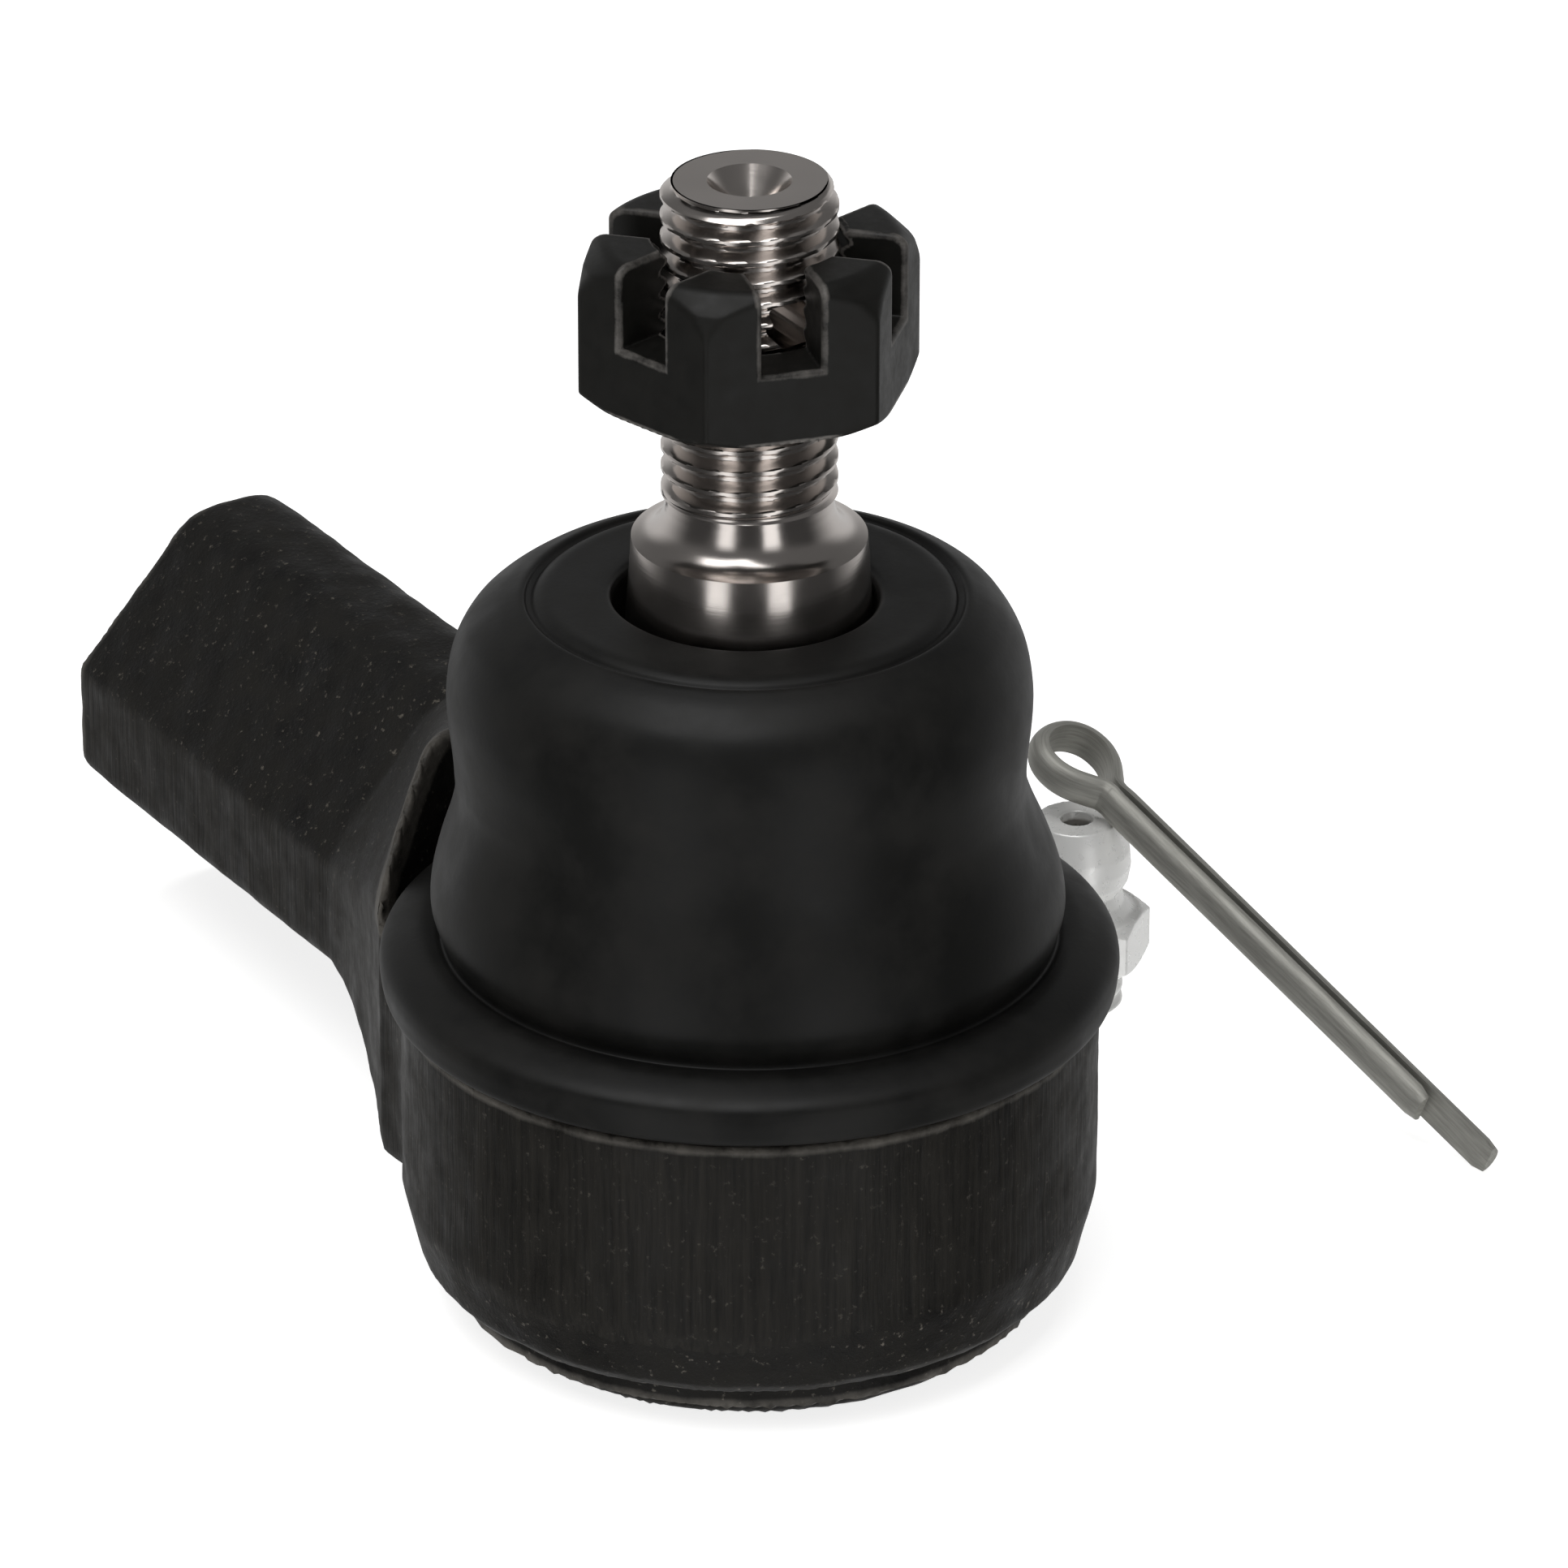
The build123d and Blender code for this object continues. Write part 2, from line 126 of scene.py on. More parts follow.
def grid_faces(rows, columns, close_rows=False, close_columns=True):
    """Four-sided faces between neighbouring points of a grid, joined at the ends that close."""
    number = np.arange(rows * columns).reshape(rows, columns)
    if close_rows:
        number = np.vstack([number, number[:1]])
    if close_columns:
        number = np.hstack([number, number[:, :1]])
    corners = number[:-1, :-1], number[1:, :-1], number[1:, 1:], number[:-1, 1:]
    return np.stack([c.ravel() for c in corners], axis=1)


def along_outline(corners, step):
    """Points every step along straight runs between corners, with the corners kept."""
    corners = np.asarray(corners, float)
    runs = []
    for start, end in zip(corners[:-1], corners[1:]):
        count = max(1, int(np.ceil(np.linalg.norm(end - start) / step)))
        runs.append(start + (end - start) * np.linspace(0, 1, count, endpoint=False)[:, None])
    return np.vstack(runs + [corners[-1:]])


def curve_through(points, per_span):
    """A Catmull-Rom curve: each span is a cubic whose slope at a point is half the step between
    the point's two neighbours."""
    p = np.asarray(points, float)
    p = np.vstack([2 * p[0] - p[1], p, 2 * p[-1] - p[-2]])
    t = np.linspace(0, 1, per_span, endpoint=False)[:, None, None]
    a, b, c, d = (p[i:len(p) - 3 + i][None] for i in range(4))
    spans = 0.5 * (2 * b + (c - a) * t + (2 * a - 5 * b + 4 * c - d) * t**2 + (3 * b - a - 3 * c + d) * t**3)
    return np.vstack([spans.transpose(1, 0, 2).reshape(-1, p.shape[1]), p[-2:-1]])


# %% [markdown]
# ## Shapes from distances
# A forging has no clean edges between its bodies. Each simple form is a signed distance,
# negative inside. The smaller of two distances joins them, the larger cuts, and a soft version
# of either leaves the fillet that a forging die leaves.

# %% Distance formulas


def soft_min(a, b, k):
    """The smaller of two distances, with a fillet about k wide where they are equal."""
    h = np.clip(0.5 + 0.5 * (b - a) / k, 0, 1)
    return b + (a - b) * h - k * h * (1 - h)


def soft_max(a, b, k):
    """The larger of two distances, with a rounding about k wide."""
    return -soft_min(-a, -b, k)


def outline_distance(corners, u, v):
    """Signed distance to a closed outline: the nearest edge, negative where a ray to the side
    crosses the outline an odd number of times."""
    corners = np.asarray(corners, float)
    nearest = np.full(u.shape, np.inf)
    inside = np.zeros(u.shape, bool)
    for (au, av), (bu, bv) in zip(corners, np.roll(corners, -1, axis=0)):
        du, dv = bu - au, bv - av
        t = np.clip(((u - au) * du + (v - av) * dv) / (du * du + dv * dv), 0, 1)
        nearest = np.minimum(nearest, (u - au - t * du) ** 2 + (v - av - t * dv) ** 2)
        if dv:
            inside ^= ((av > v) != (bv > v)) & (u < au + (v - av) * du / dv)
    return np.where(inside, -1, 1) * np.sqrt(nearest)


def wobble(x, y, z, length):
    """A slow unevenness from -1 to 1: three sines whose directions differ, repeating about every
    length."""
    k = 2 * math.pi / length
    first = np.sin(k * (x + 0.31 * y - 0.2 * z) + 1.3)
    second = np.sin(k * (0.27 * x - 0.93 * y + 0.45 * z) + 4.1)
    third = np.sin(k * (0.5 * x + 0.4 * y + 0.81 * z) + 2.2)
    return (first * second + second * third + third * first) / 2


def ridge(phase):
    """A thread's form over one turn: 1 along a narrow crest, 0 along the root, straight flanks."""
    return np.clip((np.abs((phase % 1) * 2 - 1) - 0.2) / 0.6, 0, 1)


def slope_of(field, points, h):
    """Gradient by central differences, for an array of points."""
    steps = np.eye(3) * h
    return np.stack([field(*(points + s).T) - field(*(points - s).T) for s in steps], axis=1) / (2 * h)


def net_of(field, low, high, step):
    """Mesh the zero level of a distance. Each cell of a grid whose corners differ in sign gets one
    point, the mean of its edges' crossings. Each grid edge that crosses joins its four cells. The
    points then slide down the gradient onto the surface."""
    axes = [np.arange(a - 2 * step, b + 2 * step, step) for a, b in zip(low, high)]
    values = field(*np.meshgrid(*axes, indexing="ij"))
    inside = values < 0
    offsets = np.array([(i, j, k) for i in (0, 1) for j in (0, 1) for k in (0, 1)])
    cells = np.array(values.shape) - 1
    below = sum(inside[i:i + cells[0], j:j + cells[1], k:k + cells[2]].astype(int) for i, j, k in offsets)
    mixed = (below > 0) & (below < 8)
    cell = np.argwhere(mixed)
    number = np.full(mixed.shape, -1)
    number[mixed] = np.arange(len(cell))
    total = np.zeros((len(cell), 3))
    count = np.zeros(len(cell))
    for start in offsets:
        for axis in np.flatnonzero(start == 0):
            way = np.eye(3, dtype=int)[axis]
            one = values[tuple((cell + start).T)]
            two = values[tuple((cell + start + way).T)]
            hit = (one < 0) != (two < 0)
            t = np.where(hit, one / np.where(hit, one - two, 1), 0)
            total += np.where(hit[:, None], start + t[:, None] * way, 0)
            count += hit
    points = np.array([a[0] for a in axes]) + (cell + total / count[:, None]) * step
    faces = []
    for axis in range(3):
        way, one, two = np.roll(np.eye(3, dtype=int), -axis, axis=0)
        here = np.take(inside, range(cells[axis]), axis)
        there = np.take(inside, range(1, cells[axis] + 1), axis)
        edge = np.argwhere(here != there)
        quad = np.stack([number[tuple((edge - o).T)] for o in (0 * one, one, one + two, two)], axis=1)
        faces.append(np.where(here[tuple(edge.T)][:, None], quad, quad[:, ::-1]))
    for _ in range(3):
        slope = slope_of(field, points, 0.2 * step)
        steep = np.maximum((slope**2).sum(1), 0.1)
        move = -slope * (field(*points.T) / steep)[:, None]
        points += np.clip(move, -0.4 * step, 0.4 * step)
    slope = slope_of(field, points, 0.2 * step)
    normals = slope / np.maximum(np.linalg.norm(slope, axis=1), 1e-9)[:, None]
    return points, np.vstack(faces), normals


def edge_wear(field, points, normals, depth):
    """How near a point is to a convex edge, from 0 to 1. A step straight in of the given depth
    should bring the distance to minus that depth, and it falls short beside an edge."""
    reached = field(*(points - normals * depth).T)
    return np.clip((reached + depth) / (0.5 * depth), 0, 1)


# %% [markdown]
# ## Helpers for materials
# Colours are written as the sRGB hex values that a paint chart would give, and one function
# turns them to the linear values that a shader works in. Pattern sizes are in millimetres.

# %% Colour and nodes


def linear(hex_colour):
    """sRGB hex to linear: divide by 12.92 near black, and above that a 2.4 power."""
    c = np.array([int(hex_colour[i:i + 2], 16) for i in (1, 3, 5)]) / 255
    straight = np.where(c <= 0.04045, c / 12.92, ((c + 0.055) / 1.055) ** 2.4)
    return (*straight, 1.0)


def add(tree, kind, inputs=None, **settings):
    """Add a node. Each input takes a number, a colour or another node's output."""
    node = tree.nodes.new(kind)
    for name, value in settings.items():
        setattr(node, name, value)
    for name, value in (inputs or {}).items():
        if isinstance(value, bpy.types.NodeSocket):
            tree.links.new(value, node.inputs[name])
        else:
            node.inputs[name].default_value = value
    return node


def start_material(name, colour, roughness, metallic=0.0):
    """A new material, with its tree and its shader set to typical values."""
    made = bpy.data.materials.new(name)
    made.use_nodes = True
    shader = made.node_tree.nodes["Principled BSDF"]
    shader.inputs["Base Color"].default_value = linear(colour)
    shader.inputs["Roughness"].default_value = roughness
    shader.inputs["Metallic"].default_value = metallic
    return made, made.node_tree, shader


def repeats(millimetres):
    """Scale of a pattern on metre coordinates, for a feature of this size."""
    return 1 / (millimetres * MM)


def finish_with(piece, made):
    """Give a piece its material, through the slot that a CAD node already has if there is one."""
    if not piece.material_slots:
        piece.data.materials.append(made)
    for held in piece.material_slots:
        held.material = made


# %% [markdown]
# ## Forged steel, black oxide
# The housing is drop-forged and left with a thin dark oxide. That gives a mottled brown-black
# with grey specks, duller than paint. Where the flash was trimmed off, a grey band shows, combed
# by the trimming die into upright lines. The lines follow Z, so noise stretched along Z draws
# them. Edges rub back to brighter steel.

# %% Forged steel


def forged_steel():
    made, tree, shader = start_material("forged_black_oxide", "#1f1d1a", 0.5)
    where = add(tree, "ShaderNodeTexCoord").outputs["Object"]
    band = add(tree, "ShaderNodeAttribute", attribute_name="band").outputs["Fac"]
    wear = add(tree, "ShaderNodeAttribute", attribute_name="wear").outputs["Fac"]
    mottle = add(tree, "ShaderNodeTexNoise", {"Vector": where, "Scale": repeats(2.6), "Detail": 5.0,
                                              "Roughness": 0.65})
    specks = add(tree, "ShaderNodeTexNoise", {"Vector": where, "Scale": repeats(0.45), "Detail": 3.0,
                                              "Roughness": 0.7})
    skin = add(tree, "ShaderNodeValToRGB", {"Fac": mottle.outputs["Fac"]})
    skin.color_ramp.elements[0].position = 0.32
    skin.color_ramp.elements[0].color = linear("#0a0908")
    skin.color_ramp.elements[1].position = 0.72
    skin.color_ramp.elements[1].color = linear("#1c1a16")
    # Specks of bare grey scale, about half a millimetre across.
    dots = add(tree, "ShaderNodeMapRange", {"Value": specks.outputs["Fac"], "From Min": 0.62,
                                            "From Max": 0.74})
    speckled = add(tree, "ShaderNodeMix", {0: dots.outputs[0], 6: skin.outputs["Color"],
                                           7: linear("#605b53")},
                   data_type="RGBA")
    # Trimmed band: lines 0.3 mm wide and several millimetres tall.
    stretch = add(tree, "ShaderNodeMapping", {"Vector": where, "Scale": (1.0, 1.0, 0.045)})
    lines = add(tree, "ShaderNodeTexNoise",
                {"Vector": stretch.outputs[0], "Scale": repeats(0.34), "Detail": 4.0, "Roughness": 0.6})
    trimmed = add(tree, "ShaderNodeValToRGB", {"Fac": lines.outputs["Fac"]})
    trimmed.color_ramp.elements[0].position = 0.34
    trimmed.color_ramp.elements[0].color = linear("#11100e")
    trimmed.color_ramp.elements[1].position = 0.70
    trimmed.color_ramp.elements[1].color = linear("#282520")
    # The band's edge is torn: its distance in millimetres is shifted by up to one before it is cut.
    torn = add(tree, "ShaderNodeMath", {0: lines.outputs["Fac"], 1: 2.4}, operation="MULTIPLY")
    edge = add(tree, "ShaderNodeMath", {0: band, 1: torn.outputs[0]}, operation="ADD")
    on_band = add(tree, "ShaderNodeMapRange", {"Value": edge.outputs[0], "From Min": 1.0, "From Max": 1.5})
    combed = add(tree, "ShaderNodeMath", {0: on_band.outputs[0], 1: 0.6}, operation="MULTIPLY")
    both = add(tree, "ShaderNodeMix",
               {0: combed.outputs[0], 6: speckled.outputs[2], 7: trimmed.outputs["Color"]}, data_type="RGBA")
    rubbed = add(tree, "ShaderNodeMath", {0: wear, 1: mottle.outputs["Fac"]}, operation="MULTIPLY")
    bare = add(tree, "ShaderNodeMapRange", {"Value": rubbed.outputs[0], "From Min": 0.22, "From Max": 0.62,
                                            "To Max": 0.75})
    coloured = add(tree, "ShaderNodeMix", {0: bare.outputs[0], 6: both.outputs[2], 7: linear("#66625c")},
                   data_type="RGBA")
    tree.links.new(coloured.outputs[2], shader.inputs["Base Color"])
    shader.inputs["Specular IOR Level"].default_value = 0.3
    dull = add(tree, "ShaderNodeMapRange", {"Value": mottle.outputs["Fac"], "From Min": 0.3, "From Max": 0.7,
                                            "To Min": 0.42, "To Max": 0.66})
    tree.links.new(dull.outputs[0], shader.inputs["Roughness"])
    # Height: scale on the skin, combing on the band.
    height = add(tree, "ShaderNodeMix", {0: on_band.outputs[0], 2: specks.outputs["Fac"],
                                         3: lines.outputs["Fac"]})
    bump = add(tree, "ShaderNodeBump", {"Height": height.outputs[0], "Strength": 0.55, "Distance": 0.09 * MM})
    tree.links.new(bump.outputs[0], shader.inputs["Normal"])
    return made


forged = forged_steel()
print(forged.name)

# %% [markdown]
# ## Turned steel, oxide on the nut, rubber, zinc
# The stud is turned and polished, so fine rings run round it and its reflections are sharp but
# drawn out. The nut has a satin black oxide that rubs grey at its edges. The boot is moulded
# rubber with a trace of dust. The nipple is bright zinc, and the pin is dull drawn wire.

# %% Turned steel


def turned_steel():
    made, tree, shader = start_material("turned_steel", "#d6cfca", 0.2, 1.0)
    where = add(tree, "ShaderNodeTexCoord").outputs["Object"]
    # Tool marks 0.16 mm apart, so noise changes along Z and hardly at all across.
    rings_at = add(tree, "ShaderNodeMapping", {"Vector": where, "Scale": (0.02, 0.02, 1.0)})
    rings = add(tree, "ShaderNodeTexNoise",
                {"Vector": rings_at.outputs[0], "Scale": repeats(0.16), "Detail": 3.0, "Roughness": 0.6})
    smudge = add(tree, "ShaderNodeTexNoise", {"Vector": where, "Scale": repeats(3.0), "Detail": 4.0})
    rough = add(tree, "ShaderNodeMapRange", {"Value": smudge.outputs["Fac"], "From Min": 0.3, "From Max": 0.7,
                                             "To Min": 0.15, "To Max": 0.25})
    tree.links.new(rough.outputs[0], shader.inputs["Roughness"])
    bump = add(tree, "ShaderNodeBump", {"Height": rings.outputs["Fac"], "Strength": 0.25,
                                        "Distance": 0.01 * MM})
    tree.links.new(bump.outputs[0], shader.inputs["Normal"])
    return made


# %% Black oxide on the nut


def nut_oxide():
    made, tree, shader = start_material("satin_black_oxide", "#1b1b1a", 0.36)
    where = add(tree, "ShaderNodeTexCoord").outputs["Object"]
    wear = add(tree, "ShaderNodeAttribute", attribute_name="wear").outputs["Fac"]
    cloud = add(tree, "ShaderNodeTexNoise", {"Vector": where, "Scale": repeats(1.6), "Detail": 6.0,
                                             "Roughness": 0.7})
    body = add(tree, "ShaderNodeMix", {0: cloud.outputs["Fac"], 6: linear("#0c0c0b"), 7: linear("#1a1916")},
               data_type="RGBA")
    rubbed = add(tree, "ShaderNodeMath", {0: wear, 1: cloud.outputs["Fac"]}, operation="MULTIPLY")
    bare = add(tree, "ShaderNodeMapRange", {"Value": rubbed.outputs[0], "From Min": 0.2, "From Max": 0.5,
                                            "To Max": 0.8})
    coloured = add(tree, "ShaderNodeMix", {0: bare.outputs[0], 6: body.outputs[2], 7: linear("#7a7672")},
                   data_type="RGBA")
    tree.links.new(coloured.outputs[2], shader.inputs["Base Color"])
    shader.inputs["Specular IOR Level"].default_value = 0.3
    rough = add(tree, "ShaderNodeMapRange", {"Value": cloud.outputs["Fac"], "From Min": 0.3, "From Max": 0.7,
                                             "To Min": 0.4, "To Max": 0.58})
    tree.links.new(rough.outputs[0], shader.inputs["Roughness"])
    bump = add(tree, "ShaderNodeBump", {"Height": cloud.outputs["Fac"], "Strength": 0.25,
                                        "Distance": 0.03 * MM})
    tree.links.new(bump.outputs[0], shader.inputs["Normal"])
    return made


# %% Moulded rubber


def boot_rubber():
    made, tree, shader = start_material("moulded_rubber", "#151514", 0.5)
    where = add(tree, "ShaderNodeTexCoord").outputs["Object"]
    dust = add(tree, "ShaderNodeTexNoise", {"Vector": where, "Scale": repeats(5.0), "Detail": 7.0,
                                            "Roughness": 0.62})
    grain = add(tree, "ShaderNodeTexNoise", {"Vector": where, "Scale": repeats(0.3), "Detail": 2.0})
    dusty = add(tree, "ShaderNodeMapRange", {"Value": dust.outputs["Fac"], "From Min": 0.42,
                                             "From Max": 0.78})
    coloured = add(tree, "ShaderNodeMix", {0: dusty.outputs[0], 6: linear("#111110"), 7: linear("#1f1e1c")},
                   data_type="RGBA")
    tree.links.new(coloured.outputs[2], shader.inputs["Base Color"])
    shader.inputs["Specular IOR Level"].default_value = 0.3
    rough = add(tree, "ShaderNodeMapRange", {"Value": dust.outputs["Fac"], "From Min": 0.3, "From Max": 0.7,
                                             "To Min": 0.40, "To Max": 0.58})
    tree.links.new(rough.outputs[0], shader.inputs["Roughness"])
    bump = add(tree, "ShaderNodeBump", {"Height": grain.outputs["Fac"], "Strength": 0.25,
                                        "Distance": 0.02 * MM})
    tree.links.new(bump.outputs[0], shader.inputs["Normal"])
    return made


# %% Zinc on the nipple, and the pin's drawn wire


def bright_zinc():
    made, tree, shader = start_material("bright_zinc_plate", "#f7f7f5", 0.3, 0.25)
    where = add(tree, "ShaderNodeTexCoord").outputs["Object"]
    crystals = add(tree, "ShaderNodeTexNoise", {"Vector": where, "Scale": repeats(0.5), "Detail": 5.0})
    rough = add(tree, "ShaderNodeMapRange", {"Value": crystals.outputs["Fac"], "From Min": 0.3,
                                             "From Max": 0.7,
                                             "To Min": 0.24, "To Max": 0.4})
    tree.links.new(rough.outputs[0], shader.inputs["Roughness"])
    bump = add(tree, "ShaderNodeBump", {"Height": crystals.outputs["Fac"], "Strength": 0.2,
                                        "Distance": 0.02 * MM})
    tree.links.new(bump.outputs[0], shader.inputs["Normal"])
    return made


def drawn_wire():
    made, tree, shader = start_material("dull_zinc_wire", "#77766f", 0.55, 0.6)
    # The grain attribute is (length along the wire, two places in its section) in millimetres,
    # so scratches from drawing run along the wire and follow it round the eye.
    grain = add(tree, "ShaderNodeAttribute", attribute_name="grain").outputs["Vector"]
    drawn = add(tree, "ShaderNodeMapping", {"Vector": grain, "Scale": (0.35, 5.0, 5.0)})
    scratch = add(tree, "ShaderNodeTexNoise", {"Vector": drawn.outputs[0], "Scale": 1.0, "Detail": 5.0,
                                               "Roughness": 0.65})
    coloured = add(tree, "ShaderNodeMix", {0: scratch.outputs["Fac"], 6: linear("#6a6963"),
                                           7: linear("#d2d1ca")},
                   data_type="RGBA")
    tree.links.new(coloured.outputs[2], shader.inputs["Base Color"])
    bump = add(tree, "ShaderNodeBump", {"Height": scratch.outputs["Fac"], "Strength": 0.3,
                                        "Distance": 0.03 * MM})
    tree.links.new(bump.outputs[0], shader.inputs["Normal"])
    return made


steel, oxide, rubber = turned_steel(), nut_oxide(), boot_rubber()
zinc, wire = bright_zinc(), drawn_wire()

# %% [markdown]
# ## Plain finishes inside
# Resin seats, spring steel and a moulded plug sit inside or underneath. Each is one recipe: a
# body colour, a cloud of a second colour and a fine bump.

# %% Inner finishes


def plain_finish(name, colour, second, roughness, metallic, cloud_size):
    """A clouded finish of two near colours, with a light bump of the same pattern."""
    made, tree, shader = start_material(name, colour, roughness, metallic)
    where = add(tree, "ShaderNodeTexCoord").outputs["Object"]
    cloud = add(tree, "ShaderNodeTexNoise", {"Vector": where, "Scale": repeats(cloud_size), "Detail": 5.0})
    mixed = add(tree, "ShaderNodeMix", {0: cloud.outputs["Fac"], 6: linear(colour), 7: linear(second)},
                data_type="RGBA")
    tree.links.new(mixed.outputs[2], shader.inputs["Base Color"])
    bump = add(tree, "ShaderNodeBump", {"Height": cloud.outputs["Fac"], "Strength": 0.2,
                                        "Distance": 0.02 * MM})
    tree.links.new(bump.outputs[0], shader.inputs["Normal"])
    return made


resin = plain_finish("acetal_resin", "#d9d6c8", "#e6e3d6", 0.4, 0.0, 1.5)
spring = plain_finish("oiled_spring_steel", "#5a5a5e", "#7c7c80", 0.32, 1.0, 0.8)
plug = plain_finish("moulded_polyethylene", "#20201f", "#2b2b29", 0.45, 0.0, 1.2)
pressed = plain_finish("zinc_plated_pressing", "#a9a8a4", "#c2c1bc", 0.34, 1.0, 1.0)

for node, made in {
    "upper_bearing_seat": resin,
    "lower_bearing_seat": resin,
    "preload_spring": spring,
    "end_cap": pressed,
    "grease_port_plug": plug,
    "boot_base_ring": spring,
    "boot_lip_ring": spring,
    "nipple_check_ball": steel,
    "nipple_spring": spring,
}.items():
    finish_with(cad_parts[node], made)

# %% [markdown]
# ## The housing
# The barrel is a turned outline. The shank is a bar on edge with its side corners trimmed flat,
# and it swells into the barrel. Clearance for the boot's flange is turned out of that swelling,
# which leaves a wall. Two numbers go with each point for the material: how far it is inside the
# trimmed band, in millimetres, and how near it is to a worn edge.

# %% Housing sizes
BARREL_TOP = 19.1
BOSS_R = 16.05
SPIGOT_R, SPIGOT_TOP = 17.0, 21.9
RELIEF_R = 22.3
SHANK_Z = 12.7
SHANK_HALF, SHANK_SIDE, SHANK_UP, SHANK_DOWN, CREST_FAR_BY = 9.9, 3.2, 11.9, 11.5, 1.8
# The upper crest starts to reach further where Y falls below FAR_FROM.
CREST_HALF, FAR_FROM = 1.9, 0.5
FLARE_START, FLARE_LENGTH = 32.0, 15.0
# How much each measure of the section grows by the end of the flare.
HALF_GROWS, SIDE_GROWS, CREST_GROWS, UP_GROWS, DOWN_SHRINKS = 4.7, 4.8, 9.6, 4.9, 1.5
BALL_Z, BORE_R, MOUTH_R, MOUTH_TOP_R = 11.5, 12.9, 9.8, 10.9
SOCKET_MINOR, SOCKET_MAJOR, SOCKET_DEPTH, SOCKET_PITCH = 5.35, 6.0, 30.0, 1.25
SLEEVE_R = SOCKET_MAJOR + 0.2
# The band's lower edge round the barrel: where it is lowest, as an angle about the stud.
BAND_FOOT, BAND_TILT, BAND_LOW_AT = 6.3, 1.9, math.radians(59)


def band_foot(angle):
    """Height of the band's lower edge, a slow tilt round the barrel and a little raggedness."""
    ragged = 0.25 * np.sin(7 * angle) + 0.15 * np.sin(17 * angle)
    return BAND_FOOT - BAND_TILT * np.cos(angle - BAND_LOW_AT) + ragged


def shank_sides(x, y, z):
    """Distances to the shank's trimmed side, its upper and lower slopes and its two crests. Upward
    the swelling is straight. Sideways it grows with the 1.4 power of the way into the barrel, so it
    is hollow. The upper crest reaches further on the -Y side."""
    way = np.clip((FLARE_START - x) / FLARE_LENGTH, 0, 1)
    swell = way**1.4
    half = SHANK_HALF + HALF_GROWS * swell
    side = SHANK_SIDE + SIDE_GROWS * swell
    far_side = np.clip(FAR_FROM - y, 0, 1) * (z > SHANK_Z)
    crest = CREST_HALF + CREST_GROWS * way + CREST_FAR_BY * far_side
    up = SHANK_UP + UP_GROWS * way
    down = SHANK_DOWN - DOWN_SHRINKS * swell
    across = np.sqrt(y * y + 0.05)
    height = z - SHANK_Z

    def slope(rise, level):
        run = half - crest
        return ((across - half) * (rise - side) + (level - side) * run) / np.hypot(rise - side, run)

    upper = soft_max(slope(up, height), height - up, 1.3)
    lower = soft_max(slope(down, -height), -height - down, 1.3)
    return across - half, upper, lower, side - np.abs(height)


arch = np.radians(np.linspace(90, math.degrees(math.asin(MOUTH_R / BORE_R)), 10))
chamber = [(-9, -2), (12.6, -2), (12.6, 0.6), (13.7, 0.6), (13.7, 2.3), (BORE_R, 2.3)]
chamber += [(BORE_R * math.sin(a), BALL_Z + BORE_R * math.cos(a)) for a in arch]
chamber += [(MOUTH_TOP_R, SPIGOT_TOP + 0.1), (MOUTH_TOP_R, SPIGOT_TOP + 1), (-9, SPIGOT_TOP + 1)]
barrel = [(-9, 0), (BOSS_R - 0.5, 0), (BOSS_R, 0.5), (BOSS_R, 2.8), (18.2, 2.8), (18.9, 3.5),
          (BARREL_R - 0.1, 6.8), (BARREL_R, 7.3), (BARREL_R, BARREL_TOP), (-9, BARREL_TOP)]
socket = [(SHANK_END - SOCKET_DEPTH - 3, -9), (SHANK_END - SOCKET_DEPTH, SLEEVE_R),
          (SHANK_END - 1.2, SLEEVE_R), (SHANK_END + 1, SLEEVE_R + 2.2), (SHANK_END + 1, -9)]


def forging(x, y, z):
    """Signed distance to the whole housing, joined and cut in the order that it is made."""
    rho = np.hypot(x, y)
    side, upper, lower, _ = shank_sides(x, y, z)
    bar = soft_max(soft_max(upper, lower, 0.5), side, 0.35)
    bar = soft_max(soft_max(bar, x - SHANK_END, 0.45), -x, 0.5)
    body = soft_min(outline_distance(barrel, rho, z), bar, 1.8)
    body = body + 0.05 * wobble(x, y, z, 7.0) + 0.03 * wobble(y, z, x, 2.6)
    relief = np.maximum(rho - RELIEF_R, BARREL_TOP - z)
    body = soft_max(body, -relief, 0.25)
    spigot = np.maximum(rho - SPIGOT_R, np.maximum(z - SPIGOT_TOP, 1 - z))
    body = np.minimum(body, spigot)
    body = np.maximum(body, -outline_distance(chamber, rho, z))
    body = np.maximum(body, -outline_distance(socket, x, np.hypot(y, z - SHANK_Z)))
    return np.maximum(body, -z)


# %% Mesh the housing
HOUSING_STEP = 0.42
points, faces, normals = net_of(forging, housing_low, housing_high, HOUSING_STEP)
x, y, z = points.T
side, _, _, inside_side = shank_sides(x, y, z)
on_barrel = np.where(np.hypot(x, y) > BARREL_R - 0.35, z - band_foot(np.arctan2(y, x)), -3)
on_shank = np.where(np.abs(side) < 0.4, inside_side, -3)
band = np.where(np.hypot(x, y) < BARREL_R + 0.4, on_barrel, on_shank)
band = np.minimum(band, (0.4 - np.abs(normals[:, 2])) * 6)
housing = make_piece("housing_forging", points, faces, {
    "band": np.clip(band, -3, 3),
    "wear": edge_wear(forging, points, normals, 0.8),
})
finish_with(housing, forged)
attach(housing, "housing")
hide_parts("housing")

# %% [markdown]
# ## The thread in the shank's socket
# A thread is a height that depends on length and angle together: the ridge's phase is the length
# less one pitch a turn. Here it is carried round the bore as a closed sleeve, so the true helix
# shows at the mouth.

